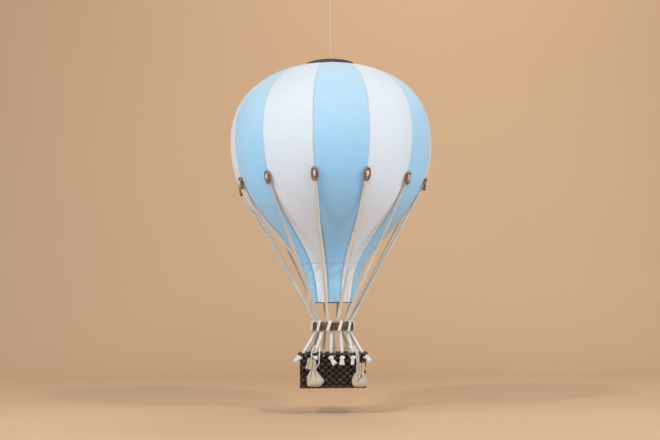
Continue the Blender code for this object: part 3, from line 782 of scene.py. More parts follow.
@dataclass
class Envelope:
    """Twelve gores from seam to seam, tucked in along their edges, and the stitching beside each seam."""

    rows: int = 150
    inner_columns: int = 17
    wall: float = 0.0022
    tuck: float = 0.0004
    tuck_width: float = 0.0008
    edge_columns: tuple[float, ...] = (0.0, 0.00012, 0.0004, 0.0008, 0.0014, 0.0024)
    fold_depth: float = 0.0007
    fold_height: float = 0.060
    gather_depth: float = 0.0007
    gather_reach: float = 0.0065
    stitch_length: float = 0.0019
    stitch_pitch: float = 0.0030
    stitch_radius: float = 0.00017
    stitch_inset: float = 0.0017

    def build(self) -> None:
        """Build the gores and the stitching."""
        for index in range(GORES):
            self.build_gore(index)
        self.build_stitching()

    def build_gore(self, index: int) -> None:
        """One gore as a closed sheet: radius = outline - puff share^2 - tuck - folds, over azimuth and height."""
        radius, height = FORM.outline(self.rows).T[:, :, None]
        s = arc_length(np.concatenate([radius, height], axis=1))
        half_angle = math.pi / GORES - GAP / 2 / (radius - self.wall)
        half_width = radius * half_angle
        edge = np.array(self.edge_columns)
        middle = np.linspace(-1, 1, self.inner_columns) * (half_width - edge[-1])
        across = np.concatenate([edge[:-1] - half_width, middle, half_width - edge[-2::-1]], axis=1)
        angle = seam_azimuth(index) + math.pi / GORES + across / radius
        share = across / half_width
        seam = half_width - np.abs(across) + 0.0001
        fall = np.clip(1 - seam / self.tuck_width, 0, 1)
        inset = FORM.seam_depth(radius) * share**2 + self.tuck * (1 - np.sqrt(1 - fall**2))
        inset += self.fold(index, share, height)
        slope = unit(np.gradient(np.concatenate([radius, height], axis=1), axis=0))
        rise, out = slope[:, :1], slope[:, 1:]
        outer = polar(angle, radius - inset * out, height + inset * rise)
        inner = polar(angle, radius - self.wall * out, height + self.wall * rise)
        shape = Shape()
        shape.slab(outer, inner, across, s, seam)
        colour, finish, slot = ("blue", BLUE_CLOTH, Slot.BLUE) if index % 2 == 0 else ("white", WHITE_CLOTH, Slot.WHITE)
        number = index // 2 + 1
        piece = shape.to_object(f"cloth_{colour}_{number}", finish)
        settle(piece, Body.BALLOON.value, slot, f"gore_{colour}_{number}")

    def fold(self, index: int, share: Array, height: Array) -> Array:
        """Shallow folds by the mouth, fading with the height above it, and slanting gathers below the skirt's seam."""
        fade = np.clip(1 - (height - FORM.mouth_z) / self.fold_height, 0, 1) ** 1.5
        wave = 1 - np.cos(2 * math.pi * share + 0.9 * math.sin(2.3 * index))
        below = (SKIRT_SEAM_Z - height) / self.gather_reach
        swell = np.clip(below, 0, None) * np.exp(1 - np.clip(below, 0, None))
        slant = np.sin((3.1 + math.sin(1.7 * index)) * share + 2.6 * below + 2.1 * index)
        return (self.fold_depth * 0.5 * fade * wave + self.gather_depth * swell * slant) * (1 - share**4)

    def build_stitching(self) -> None:
        """Short stitches along the white side of each seam, each a thin tube that follows the cloth."""
        outline = FORM.outline(1600)
        s = arc_length(outline)
        starts = np.arange(0.004, s[-1] - 0.028, self.stitch_pitch)
        at = starts[:, None] + np.linspace(0, self.stitch_length, 4)
        radius, height = np.interp(at, s, outline[:, 0]), np.interp(at, s, outline[:, 1])
        shape = Shape()
        for index in range(GORES):
            side = -1 if index % 2 == 0 else 1
            angle = seam_azimuth(index) + side * self.stitch_inset / radius
            share = 1 - self.stitch_inset / (radius * math.pi / GORES)
            dip = FORM.seam_depth(radius) * share**2
            bow = np.sin(np.linspace(0, math.pi, 4)) * self.stitch_radius * 0.7
            path = polar(angle, radius - dip + bow - self.stitch_radius * 0.35, height)
            shape.tubes(path, self.stitch_radius, along(angle), 5)
        settle(shape.to_object("seam_stitching", STITCH), Body.BALLOON.value, Slot.THREAD)


@dataclass
class CrownCap:
    """A low leather dome on the gores' top, with a sewn line near its edge and a hole for the thread."""

    radius: float = 0.0386
    shoulder_z: float = -0.1281
    dome: float = 0.0040
    hole: float = 0.001
    columns: int = 96
    rows: int = 26
    edge_fold: float = 0.0005
    stitches: int = 72
    stitch_inset: float = 0.0032

    def top(self, radius: Array) -> Array:
        """Height of the upper side: shoulder + dome (1 - (r / R)^p)^(1 / p)."""
        share = np.clip(radius / self.radius, 0, 1)
        return self.shoulder_z + self.dome * (1 - share**FORM.crown_power) ** (1 / FORM.crown_power)

    def build(self) -> None:
        """Turn the section round the axis: up the hole's wall, over the dome, round the edge and back under."""
        angle = np.linspace(0, math.pi / 2, self.rows)
        over = self.hole + (self.radius - self.hole) * np.sin(angle)
        under = np.linspace(self.radius, self.hole, 10)
        beneath = np.array([FORM.crown_height(max(r, FORM.apex_radius)) + GAP for r in under])
        groove = 0.00025 * np.exp(-(((over - self.radius + self.stitch_inset) / 0.0006) ** 2))
        section = np.concatenate([
            np.stack([over, self.top(over) - groove], axis=1),
            np.stack([under, beneath], axis=1),
        ])[::-1]
        angle = np.arange(self.columns) * 2 * math.pi / self.columns
        ripple = 0.00018 * np.cos(7 * angle + 0.6) + 0.00012 * np.cos(11 * angle)
        lift = ripple * np.clip(section[:, :1] / self.radius, 0, 1) ** 2 * (section[:, 1:] > self.shoulder_z - 0.0005)
        grid = polar(angle, section[:, :1], section[:, 1:] + lift)
        shape = Shape()
        u = np.linspace(0, 2 * math.pi * self.radius, self.columns + 1)
        shape.grid(grid, u, np.append(arc_length(section), 0.08), around=True, closed=True)
        settle(shape.to_object("leather_cap", CAP_LEATHER, 50), Body.BALLOON.value, Slot.CAP, "crown_cap")
        self.build_stitches()

    def build_stitches(self) -> None:
        """A round of stitches in the cap's groove."""
        radius = self.radius - self.stitch_inset
        turn = np.arange(self.stitches)[:, None] * 2 * math.pi / self.stitches
        angle = turn + np.linspace(-0.3, 0.3, 4) * 2 * math.pi / self.stitches
        bow = np.array([-0.0001, 0.0001, 0.0001, -0.0001])
        path = polar(angle, radius, float(self.top(np.array(radius))) - 0.00012 + bow)
        shape = Shape()
        shape.tubes(path, 0.00022, np.array([0.0, 0.0, 1.0]), 5)
        settle(shape.to_object("cap_stitching", CAP_LEATHER), Body.BALLOON.value, Slot.CAP)


def trefoil(centre: Array, axis: Array, side: Array, size: float, height: float, count: int) -> Array:
    """A closed trefoil lying across an axis: (sin t + 2 sin 2t, cos t - 2 cos 2t, -sin 3t), scaled.

    Args:
        centre: Its middle.
        axis: Direction that it lies across.
        side: A direction that isn't along the axis.
        size: Length of one unit across.
        height: How far it swings each way along the axis.
        count: Number of points.

    Returns:
        Points round the knot, the last one step before the first.
    """
    t = np.arange(count) * 2 * math.pi / count
    axis = unit(np.asarray(axis, float))
    x = unit(np.cross(side, axis))
    y = np.cross(axis, x)
    level = (np.sin(t) + 2 * np.sin(2 * t))[:, None] * x + (np.cos(t) - 2 * np.cos(2 * t))[:, None] * y
    return centre + size * level - height * np.sin(3 * t)[:, None] * axis


def closed_tube(shape: Shape, path: Array, radius: float, columns: int) -> None:
    """Add a tube along a closed path, its frames leaning away from the path's middle."""
    ahead, behind = np.roll(path, -1, axis=0), np.roll(path, 1, axis=0)
    tangent = unit(ahead - behind)
    away = path - path.mean(axis=0) + 1e-6
    normal = unit(away - np.sum(away * tangent, axis=1, keepdims=True) * tangent)
    turn = np.arange(columns) * 2 * math.pi / columns
    binormal = np.cross(tangent, normal)
    grid = path[:, None] + radius * (
        np.cos(turn)[:, None] * normal[:, None] + np.sin(turn)[:, None] * binormal[:, None]
    )
    v = np.append(arc_length(path), arc_length(path)[-1] + np.linalg.norm(path[0] - path[-1]))
    shape.grid(grid, np.linspace(0, 1, columns + 1), v, around=True, closed=True)


@dataclass
class RopeLay:
    """Three strands laid together: the section's edge swings between crest and valley and turns along the rope."""

    strands: int = 3
    steps: int = 4
    lay: float = 0.0105
    valley: float = 0.80
    crest: float = 1.07

    def grid(self, route: Array, side: Array) -> Array:
        """The rope's surface, one ring of points for each step of a route of x, y, z and radius.

        The radius at a turn w from a strand's crest is (R - q) cos w + sqrt(q^2 - (R - q)^2 sin^2 w), where q
        is the strand's radius, and not less than the valley's share of R.

        Args:
            route: One row of x, y, z and radius for each step.
            side: Direction that the rope never runs along.

        Returns:
            Points, the rings along the rope first.
        """
        path, radius = route[:, :3], self.crest * route[:, 3:]
        columns = self.strands * self.steps
        column = np.arange(columns)
        w = 2 * math.pi / self.strands * ((column % self.steps) / self.steps - 0.5)
        strand = 0.464
        crest = (1 - strand) * np.cos(w) + np.sqrt(
            np.maximum(strand**2 - ((1 - strand) * np.sin(w)) ** 2, 0)
        )
        crest = np.maximum(crest, self.valley)
        turn = column * 2 * math.pi / columns + 2 * math.pi * arc_length(path)[:, None] / self.lay
        return swept(path, radius * crest, turn, side)

    def add(self, shape: Shape, grid: Array) -> None:
        """Add a rope's surface to a mesh."""
        u = np.linspace(0, 1, grid.shape[1] + 1)
        shape.grid(grid, u, arc_length(grid.mean(axis=1)), around=True, ends=Ends.CLOSED)


ROPE = RopeLay()
CORD = RopeLay(strands=2, steps=4, lay=0.0045, valley=0.72)


@dataclass
class HangingThread:
    """One nylon line: its tied loop, the small knot under it and the run down to the cap."""

    radius: float = 0.0005
    loop_radius: float = 0.005
    knot_size: float = 0.00034
    stopper_radius: float = 0.0022

    def build(self) -> None:
        """A round tube that goes once round the loop and then down."""
        centre = np.array([0.0, 0.0, 0.0006 - self.loop_radius])
        turn = np.linspace(math.pi, 3 * math.pi, 56)[:, None]
        loop = centre + self.loop_radius * np.concatenate([np.sin(turn), 0 * turn, np.cos(turn)], axis=1)
        knot = centre - np.array([0.0, 0.0, self.loop_radius + 1.5 * self.radius])
        stopper = np.array([0.0, 0.0, FORM.crown_height(FORM.apex_radius) - self.stopper_radius])
        run = np.linspace(knot, stopper, 60)
        shape = Shape()
        turn = np.arange(10) * 2 * math.pi / 10
        for path in (loop, run):
            grid = swept(path, np.full((len(path), 1), self.radius), turn, np.array([0.0, 1.0, 0.0]))
            shape.grid(grid, np.linspace(0, 1, 11), arc_length(path), around=True, ends=Ends.CLOSED)
        for place, size in ((knot, self.knot_size), (stopper, 1.5 * self.knot_size)):
            knot_path = trefoil(place, np.array([0.0, 0.0, 1.0]), np.array([0.0, 1.0, 0.0]), size, 1.6 * size, 60)
            closed_tube(shape, knot_path, 1.25 * size, 8)
        settle(shape.to_object("nylon_thread", NYLON), Body.HANGER.value, Slot.THREAD, "hanging_thread")


@dataclass
class ToggleButton:
    """An oval ring of stained wood on a seam, drawn to a blunt point where the rope leaves it."""

    height: float = -0.3147
    bar: float = 0.00165
    half_width: float = 0.0037
    half_height: float = 0.0076
    power: float = 2.6
    lift: float = 0.00365
    tilt: float = math.radians(11)
    rows: int = 64
    columns: int = 16
    point: float = 0.0007
    depth: float = 1.15

    def frame(self, azimuth: float) -> tuple[Array, Array, Array]:
        """The ring's middle, its upward direction and its outward direction."""
        radius = FORM.radius_at(self.height)
        radius -= FORM.seam_depth(radius)
        rise, out = np.array([0.0, 0.0, 1.0]), outward(azimuth)
        up = rise * math.cos(self.tilt) + out * math.sin(self.tilt)
        away = out * math.cos(self.tilt) - rise * math.sin(self.tilt)
        return polar(azimuth, radius, self.height) + away * self.lift, up, away

    def build(self, index: int) -> None:
        """Sweep a bar, deeper than it is wide, round the oval |x / a|^p + |y / b|^p = 1 and draw out its bottom."""
        azimuth = seam_azimuth(index)
        centre, up, away = self.frame(azimuth)
        angle = np.arange(self.rows) * 2 * math.pi / self.rows
        power = 2.0 / self.power
        across = np.sign(np.sin(angle)) * np.abs(np.sin(angle)) ** power
        rise = np.sign(np.cos(angle)) * np.abs(np.cos(angle)) ** power
        lower = np.clip(-np.cos(angle), 0, 1)
        path = (
            centre + (self.half_width * across * (1 - 0.14 * lower**3))[:, None] * along(azimuth)
            + (self.half_height * rise - self.point * lower**6)[:, None] * up
        )
        tangent = unit(np.roll(path, -1, axis=0) - np.roll(path, 1, axis=0))
        inward = np.cross(tangent, away)
        turn = np.arange(self.columns) * 2 * math.pi / self.columns
        bar = self.bar * (1 + 0.18 * lower**4)[:, None, None]
        spokes = self.depth * np.cos(turn)[:, None] * away + np.sin(turn)[:, None] * inward[:, None]
        shape = Shape()
        u, v = np.linspace(0, 1, self.columns + 1), np.linspace(0, 0.05, self.rows + 1)
        shape.grid((path[:, None] + bar * spokes)[:, ::-1], u, v, around=True, closed=True)
        piece = shape.to_object(f"toggle_{index + 1}", BUTTON_WOOD)
        settle(piece, Body.BALLOON.value, Slot.BUTTON, f"button_{index + 1}")


BUTTON = ToggleButton()


@dataclass(frozen=True)
class RingForm:
    """The load ring's size."""

    z: float = -0.5249
    outer: float = 0.0308
    thick: float = 0.0038
    height: float = 0.0112
    edge: float = 0.0022


@dataclass
class LoadRing:
    """A turned wooden ring with rounded edges and a hand-cut unevenness."""

    form: RingForm = field(default_factory=RingForm)
    columns: int = 144

    def build(self) -> None:
        """Turn a rounded rectangle round the axis, each point a rounded corner or on a straight."""
        inner, outer = self.form.outer - self.form.thick, self.form.outer
        top, bottom = self.form.z + self.form.height / 2, self.form.z - self.form.height / 2
        middle = self.form.z
        corners = [(outer, middle), (outer, top), (inner, top), (inner, bottom), (outer, bottom), (outer, middle)]
        section = rounded_route([(r, 0.0, z) for r, z in corners], 0.0004, 2.4 * self.form.edge)[:-1]
        angle = np.arange(self.columns) * 2 * math.pi / self.columns
        uneven = 0.00010 * np.sin(5 * angle) + 0.00007 * np.sin(13 * angle + 1)
        grid = polar(angle, section[:, :1] + uneven, section[:, 2:])
        shape = Shape()
        length = 2 * math.pi * outer
        shape.grid(
            grid, np.linspace(0, length, self.columns + 1), np.linspace(0, 0.03, len(section) + 1), around=True,
            closed=True,
        )
        settle(shape.to_object("turned_ring", RING_WOOD, 50), Body.BALLOON.value, Slot.RING, "load_ring")


@dataclass(frozen=True)
class Anchor:
    """Where a rope leaves the basket: its wall's or corner's azimuth, and the way along the wall.

    Then the brushed end's sideways and outward lean against its fall, its length and its tip's radius.
    """

    azimuth: float
    way: float
    lean: float
    stand: float
    length: float
    tip: float

    @property
    def at_corner(self) -> bool:
        """Whether it is a corner of the basket and not a long wall."""
        return abs(math.sin(2 * self.azimuth)) > 0.5


@dataclass(frozen=True)
class BasketForm:
    """The basket's size and where each rope leaves it; the ropes of the back follow by half a turn."""

    width: float = 0.0965
    depth: float = 0.072
    wall: float = 0.003
    corner: float = 0.006
    rim_top: float = -0.563
    rim_thick: float = 0.0034
    rim_overhang: float = 0.0029
    base: float = -0.6145
    hole_drop: float = 0.0072
    knot_radius: float = 0.0038
    anchors: tuple[Anchor, ...] = (
        Anchor(0.0, -0.0026, 0.62, 0.12, 0.0115, 0.0040),
        Anchor(0.0, 0.0136, -0.05, 0.12, 0.0110, 0.0040),
        Anchor(0.0, 0.0292, -0.10, 0.12, 0.0105, 0.0026),
        Anchor(math.pi / 4, 0.0, 0.05, 1.50, 0.0100, 0.0034),
        Anchor(3 * math.pi / 4, 0.0, -0.15, 1.30, 0.0100, 0.0034),
        Anchor(math.pi, -0.0256, 1.35, 0.12, 0.0040, 0.0014),
    )

    def anchor(self, index: int) -> tuple[Anchor, Array, Array, Array]:
        """A rope's anchor, its hole in the outer side, and the directions out of and along the wall."""
        anchor = self.anchors[index % 6]
        azimuth = anchor.azimuth + (math.pi if index >= 6 else 0.0)
        out, side = outward(azimuth), along(azimuth)
        if anchor.at_corner:
            middle = np.sign(out) * np.array([self.width / 2 - self.corner, self.depth / 2 - self.corner, 0.0])
            place = middle + out * self.corner
        else:
            place = out * self.depth / 2 + side * anchor.way
        place[2] = self.rim_top - self.hole_drop
        return anchor, place, out, side


BASKET = BasketForm()
RING = RingForm()


@dataclass
class Stay:
    """One rope: its bight in the button, the run to the ring, the wrap, the run to the basket, knot and tuft."""

    radius: float = 0.0022
    squeezed: float = 0.0015
    wrap_radius: float = 0.00135
    spread: float = 0.95
    wrap_offset: float = 0.0018
    inner_offset: float = 0.0026
    wrap_corner: float = 0.0014
    reversed_wrap: int = 3
    step: float = 0.0009
    rounding: float = 0.0030
    knot_rope: float = 0.0015
    knot_unit: float = 0.00086
    knot_swing: float = 0.0013
    hairs: int = 110
    hair_radius: float = 0.00021

    def through_button(self, azimuth: float) -> list[Array]:
        """The rope from its end at the cloth, out through the ring and behind its lower bar."""
        centre, up, away = BUTTON.frame(azimuth)
        bulge = [
            (0.0050, -0.0012, 0.0010), (0.0039, -0.0001, 0.0014), (0.0022, 0.0014, 0.0019), (0.0, 0.0020, 0.0021),
            (-0.0026, 0.0011, 0.0018), (-0.0044, -0.0010, self.squeezed), (-0.0058, -0.0028, self.squeezed),
            (-BUTTON.half_height, -0.0036, self.squeezed),
        ]
        places = [np.append(centre + up * rise + away * stand, radius) for rise, stand, radius in bulge]
        places.append(np.append(places[-1][:3] - up * 0.006 - away * 0.0014, self.radius))
        return places

    def round_ring(self, index: int) -> list[Array]:
        """Down the ring's inner side, up its outer side on a slant, and down inside again."""
        azimuth = seam_azimuth(index)
        reach = self.wrap_radius + GAP
        inner, outer = RING.outer - RING.thick - reach, RING.outer + reach
        high, c = RING.height / 2 + reach, self.wrap_corner
        way = -1 if index % 6 == self.reversed_wrap else 1
        w, v = way * self.wrap_offset, way * self.inner_offset
        turns = [
            (inner + c, high, -v), (inner, high - c, -v), (inner, -high + c, -v), (inner + c, -high, -v),
            (outer - c, -high, -w), (outer, -high + c, -w), (outer, high - c, w), (outer - c, high, w),
            (inner + c, high, v), (inner, high - c, v), (inner, -high + c, v),
        ]
        places = [polar(azimuth, radius, RING.z + rise) + along(azimuth) * slip for radius, rise, slip in turns]
        return [np.append(place, self.wrap_radius) for place in places]

    def foot(self, index: int) -> Array:
        """The middle of the rope where it passes the rim's top, inside the basket."""
        _, place, out, _ = BASKET.anchor(index)
        place = place - out * (BASKET.wall + self.radius + GAP)
        place[2] = BASKET.rim_top + 0.001
        return place

    def build(self, index: int) -> None:
        """Lay the rope along its route and add its knot and tuft."""
        azimuth = seam_azimuth(index)
        anchor, hole, out, side = BASKET.anchor(index)
        start, ring, foot = self.through_button(azimuth), self.round_ring(index), self.foot(index)
        above = ring[0][:3] + unit(start[-1][:3] - ring[0][:3]) * 0.008
        corner = 0.0016
        knot = hole + out * (GAP + BASKET.knot_radius)
        below = np.array([foot[0], foot[1], hole[2]])
        ends = [
            ring[-1][:3] + unit(foot - ring[-1][:3]) * 0.006, foot, below + np.array([0, 0, corner]),
            below + out * corner, knot,
        ]
        route = start + [np.append(above, self.radius)] + ring + [np.append(place, self.radius) for place in ends]
        shape = Shape()
        path = rounded_route(route, self.step, self.rounding)
        share = np.clip((path[:, 2:3] - BASKET.rim_top - 0.006) / 0.02, 0, 1)
        grid = ROPE.grid(path, unit(share * along(azimuth) + (1 - share) * side))
        on_ring = np.clip((RING.height / 2 + 0.005 - np.abs(path[:, 2] - RING.z)) / 0.003, 0, 1)
        off = ((grid - path[:, None, :3]) @ along(azimuth))[..., None] * along(azimuth)
        ROPE.add(shape, grid + self.spread * on_ring[:, None, None] * off)
        hang = unit(np.array([0.0, 0.0, -1.0]) + side * anchor.lean + out * anchor.stand)
        upright = unit(np.array([0.0, 0.0, -1.0]) + 0.3 * hang)
        knot_path = trefoil(knot, upright, out, self.knot_unit, self.knot_swing, 84)
        closed_tube(shape, knot_path, self.knot_rope, 10)
        self.add_tuft(shape, index, knot, hang, anchor)
        piece = shape.to_object(f"rope_{index + 1}", ROPE_COTTON, 75)
        settle(piece, Body.BALLOON.value, Slot.ROPE, f"stay_{index + 1}")

    def add_tuft(self, shape: Shape, index: int, knot: Array, hang: Array, anchor: Anchor) -> None:
        """A core cone and loose hairs that fan out from the knot: place = start + s (tip - start) + bow.

        Args:
            shape: The mesh that it is added to.
            index: The rope's number, which seeds its hairs.
            knot: The knot's middle.
            hang: The way that the end hangs.
            anchor: Its length and its tip's radius.
        """
        draw = np.random.default_rng(100 + index)
        across = unit(np.cross(hang, np.array([0.3, 0.5, 0.1])))
        front = np.cross(across, hang)
        angle = draw.uniform(0, 2 * math.pi, self.hairs)
        share = np.sqrt(draw.uniform(0.1, 1.0, self.hairs))[:, None, None]
        reach = anchor.length * draw.uniform(0.86, 1.04, self.hairs)[:, None, None]
        spoke = (np.cos(angle)[:, None] * across + np.sin(angle)[:, None] * front)[:, None]
        s = np.linspace(0, 1, 6)[None, :, None]
        start = knot + spoke * share * 0.0012
        tip = knot + hang * reach + spoke * share * anchor.tip
        bow = spoke * draw.normal(0, 0.0004, (self.hairs, 1, 1)) * np.sin(math.pi * s)
        paths = start + (tip - start) * s**1.15 + bow
        radius = self.hair_radius * np.array([1.0, 1.1, 1.1, 1.05, 0.9, 0.5])
        shape.tubes(paths, radius, across + 0.3 * front, 5, 0.01, 0.01)
        t = np.linspace(0, 1, 8)[:, None]
        core = knot + hang * anchor.length * 0.9 * t
        width = 0.0011 + (anchor.tip * 0.88 - 0.0011) * t**1.2
        turn = np.arange(24) * 2 * math.pi / 24
        ridge = 1 + 0.08 * np.cos(6 * turn) + 0.05 * np.cos(11 * turn + index)
        grid = swept(core, width * ridge, turn, across)
        shape.grid(grid, np.linspace(0, 1, 25), t[:, 0] * 0.2 * anchor.length, around=True, ends=Ends.CLOSED)


STAY = Stay()


@dataclass(frozen=True)
class RoundedRectangle:
    """A level rectangle about the axis with round corners, walked against the clock from the front's middle."""

    half_width: float
    half_depth: float
    corner: float

    def walk(self, share: Array) -> tuple[Array, Array]:
        """Points and outward directions at shares of the way round: straights and quarter arcs joined end to end."""
        w, d, c = self.half_width, self.half_depth, self.corner
        quarter = np.linspace(0, math.pi / 2, 25)
        middles = [(w - c, -d + c), (w - c, d - c), (-w + c, d - c), (-w + c, -d + c)]
        parts = [np.array([(0.0, -d, 0.0, -1.0)])]
        for number, (x, y) in enumerate(middles):
            a = quarter - math.pi / 2 + number * math.pi / 2
            parts.append(np.stack([x + c * np.cos(a), y + c * np.sin(a), np.cos(a), np.sin(a)], axis=1))
        parts.append(parts[0])
        round_it = np.concatenate(parts)
        steps = np.linalg.norm(np.diff(round_it[:, :2], axis=0), axis=1)
        s = np.concatenate([[0.0], np.cumsum(steps)])
        at = (share % 1.0) * s[-1]
        x, y, nx, ny = (np.interp(at, s, column) for column in round_it.T)
        zero = np.zeros_like(x)
        return np.stack([x, y, zero], axis=-1), unit(np.stack([nx, ny, zero], axis=-1))

    @property
    def length(self) -> float:
        """The way round."""
        return 4 * (self.half_width + self.half_depth - 2 * self.corner) + 2 * math.pi * self.corner


def strip_section(height: float, thick: float, columns: int) -> tuple[Array, Array]:
    """A flat strip's section, up and out: a superellipse with blunt sides."""
    a = np.arange(columns) * 2 * math.pi / columns
    up = height / 2 * np.sign(np.cos(a)) * np.abs(np.cos(a)) ** 0.55
    out = thick / 2 * np.sign(np.sin(a)) * np.abs(np.sin(a)) ** 0.8
    return up, out


@dataclass
class Wickerwork:
    """The basket: ten woven rounds over sixty stakes, a woven floor, a wrapped rim and a foot border."""

    stakes: int = 60
    rounds: int = 10
    first_round: float = 0.0030
    pitch: float = 0.00455
    weaver_height: float = 0.0043
    weaver_thick: float = 0.0008
    weaver_swing: float = 0.00105
    stake_width: float = 0.0031
    stake_thick: float = 0.0009
    stake_swing: float = 0.00015
    per_stake: int = 8
    columns: int = 8
    floor_strip: float = 0.0062
    rim_wraps: int = 84

    def build(self) -> None:
        """Weave the wall, the floor and both borders."""
        wall = RoundedRectangle(
            BASKET.width / 2 - BASKET.wall / 2, BASKET.depth / 2 - BASKET.wall / 2, BASKET.corner - BASKET.wall / 2
        )
        shape = Shape()
        for number in range(self.rounds):
            self.add_weaver(shape, wall, number)
        self.add_floor(shape)
        piece = shape.to_object("woven_basket", WICKER, 50)
        settle(piece, Body.BALLOON.value, Slot.WICKER, "basket_body")
        shape = Shape()
        self.add_stakes(shape, wall)
        settle(shape.to_object("basket_stakes", PAINTED_SHADE_STAKES, 50), Body.BALLOON.value, Slot.WICKER)
        shape = Shape()
        self.add_foot(shape)
        settle(shape.to_object("foot_border", BORDER, 50), Body.BALLOON.value, Slot.WICKER)
        self.build_rim()

    def add_weaver(self, shape: Shape, wall: RoundedRectangle, number: int) -> None:
        """One round: out = swing cos(pi stakes share + pi number), flattened, so it lies over every other stake."""
        count = self.stakes * self.per_stake
        share = np.arange(count) / count
        wave = np.cos(math.pi * self.stakes * share + math.pi * number)
        swing = self.weaver_swing * np.sign(wave) * np.abs(wave) ** 0.45
        base, away = wall.walk(share)
        path = base + away * swing[:, None]
        lift = BASKET.base + self.first_round + self.pitch * number
        draw = np.random.default_rng(number)
        drift = 0.00018 * np.sin(2 * math.pi * (3 * share + draw.uniform())) + 0.0001 * wave
        path[:, 2] = lift + drift
        up, out = strip_section(self.weaver_height, self.weaver_thick, self.columns)
        crown = 1 + 0.25 * np.clip(wave, 0, 1)[:, None]
        grid = path[:, None] + (out * crown)[..., None] * away[:, None] + up[:, None] * np.array([0.0, 0.0, 1.0])
        u = np.linspace(0, 1, self.columns + 1) + 3.0 * number
        shape.grid(grid[::-1], u, np.linspace(0, wall.length, count + 1), around=True, closed=True)

    def add_stakes(self, shape: Shape, wall: RoundedRectangle) -> None:
        """Upright strips that give way a little to each round, behind it or before it in turn."""
        rows = 4 * self.rounds + 1
        z = np.linspace(BASKET.base + 0.0008, BASKET.rim_top - BASKET.rim_thick - GAP, rows)
        base, away = wall.walk(np.arange(self.stakes) / self.stakes)
        up, out = strip_section(self.stake_width, self.stake_thick, self.columns)
        phase = (z - BASKET.base - self.first_round) / self.pitch
        for number in range(self.stakes):
            bend = -self.stake_swing * np.cos(math.pi * (phase + number))
            across = np.cross(away[number], np.array([0.0, 0.0, 1.0]))
            path = base[number] + bend[:, None] * away[number] + z[:, None] * np.array([0.0, 0.0, 1.0])
            grid = path[:, None] + out[:, None] * away[number] + up[:, None] * across
            u = np.linspace(0, 1, self.columns + 1) + 3.0 * number + 40.0
            shape.grid(grid, u, z, around=True, ends=Ends.CLOSED)

    def add_floor(self, shape: Shape) -> None:
        """Two crossing sets of flat strips in plain weave, each swinging over and under the other."""
        z = BASKET.base + 0.0016
        half = (BASKET.width / 2 - BASKET.wall * 0.8, BASKET.depth / 2 - BASKET.wall * 0.8)
        counts = [round(2 * part / (self.floor_strip + 0.0004)) for part in half]
        up, out = strip_section(self.floor_strip, 0.0007, self.columns)
        for axis in (0, 1):
            other = 1 - axis
            pitch = 2 * half[other] / counts[other]
            step = 2 * half[axis] / counts[axis]
            s = np.linspace(-half[axis], half[axis], 4 * counts[axis] + 1)
            for number in range(counts[other]):
                at = -half[other] + pitch * (number + 0.5)
                wave = np.cos(math.pi * ((s + half[axis]) / step - 0.5 + number + axis))
                path = np.zeros((len(s), 3))
                path[:, axis], path[:, other], path[:, 2] = s, at, z + 0.00042 * wave
                sideways = np.zeros(3)
                sideways[other] = 1.0 if axis == 0 else -1.0
                grid = path[:, None] + up[:, None] * sideways + out[:, None] * np.array([0.0, 0.0, 1.0])
                u = np.linspace(0, 1, self.columns + 1) + 3.0 * number + 200.0 + 60 * axis
                shape.grid(grid, u, s, around=True, ends=Ends.CLOSED)

    def add_foot(self, shape: Shape) -> None:
        """A twisted pair of thin rods round the foot."""
        outline = RoundedRectangle(BASKET.width / 2 - 0.0009, BASKET.depth / 2 - 0.0009, BASKET.corner)
        count = 420
        share = np.arange(count) / count
        base, away = outline.walk(share)
        twists = round(outline.length / 0.016)
        for half in (0, 1):
            angle = 2 * math.pi * twists * share + math.pi * half
            path = base + away * (0.00055 * np.cos(angle))[:, None]
            path[:, 2] = BASKET.base + 0.00165 + 0.00045 * np.sin(angle)
            turn = np.arange(8) * 2 * math.pi / 8
            up = np.array([0.0, 0.0, 1.0])
            grid = path[:, None] + 0.00105 * (
                np.cos(turn)[:, None] * up + np.sin(turn)[:, None] * away[:, None]
            )
            u = np.linspace(0, 1, 9) + 300.0 + 3 * half
            shape.grid(grid[::-1], u, np.linspace(0, outline.length, count + 1), around=True, closed=True)

    def build_rim(self) -> None:
        """A core wrapped with slanting strips: thickness swings with sin of the way round plus the turn."""
        inner = BASKET.wall
        outer_w, outer_d = BASKET.width / 2 + BASKET.rim_overhang, BASKET.depth / 2 + BASKET.rim_overhang
        thick = BASKET.rim_overhang + inner
        outline = RoundedRectangle(
            outer_w - thick / 2, outer_d - thick / 2, BASKET.corner + BASKET.rim_overhang - thick / 2
        )
        wraps = self.rim_wraps
        count = wraps * 7
        share = np.arange(count) / count
        base, away = outline.walk(share)
        base[:, 2] = BASKET.rim_top - BASKET.rim_thick / 2
        turn = np.arange(18) * 2 * math.pi / 18
        wrap = np.abs(np.sin(math.pi * wraps * share[:, None] + turn[None] * 1.0 / 2))
        swell = 0.88 + 0.12 * np.sqrt(wrap)
        power = 0.55
        up = np.sign(np.cos(turn)) * np.abs(np.cos(turn)) ** power * BASKET.rim_thick / 2
        out = np.sign(np.sin(turn)) * np.abs(np.sin(turn)) ** power * thick / 2
        grid = (
            base[:, None] + (swell * up)[..., None] * np.array([0.0, 0.0, 1.0])
            + (swell * out)[..., None] * away[:, None]
        )
        shape = Shape()
        u = np.linspace(0, 1, 19) + 400.0
        shape.grid(grid[::-1], u, np.linspace(0, outline.length, count + 1), around=True, closed=True)
        settle(shape.to_object("wrapped_rim", BORDER, 50), Body.BALLOON.value, Slot.WICKER, "basket_rim")


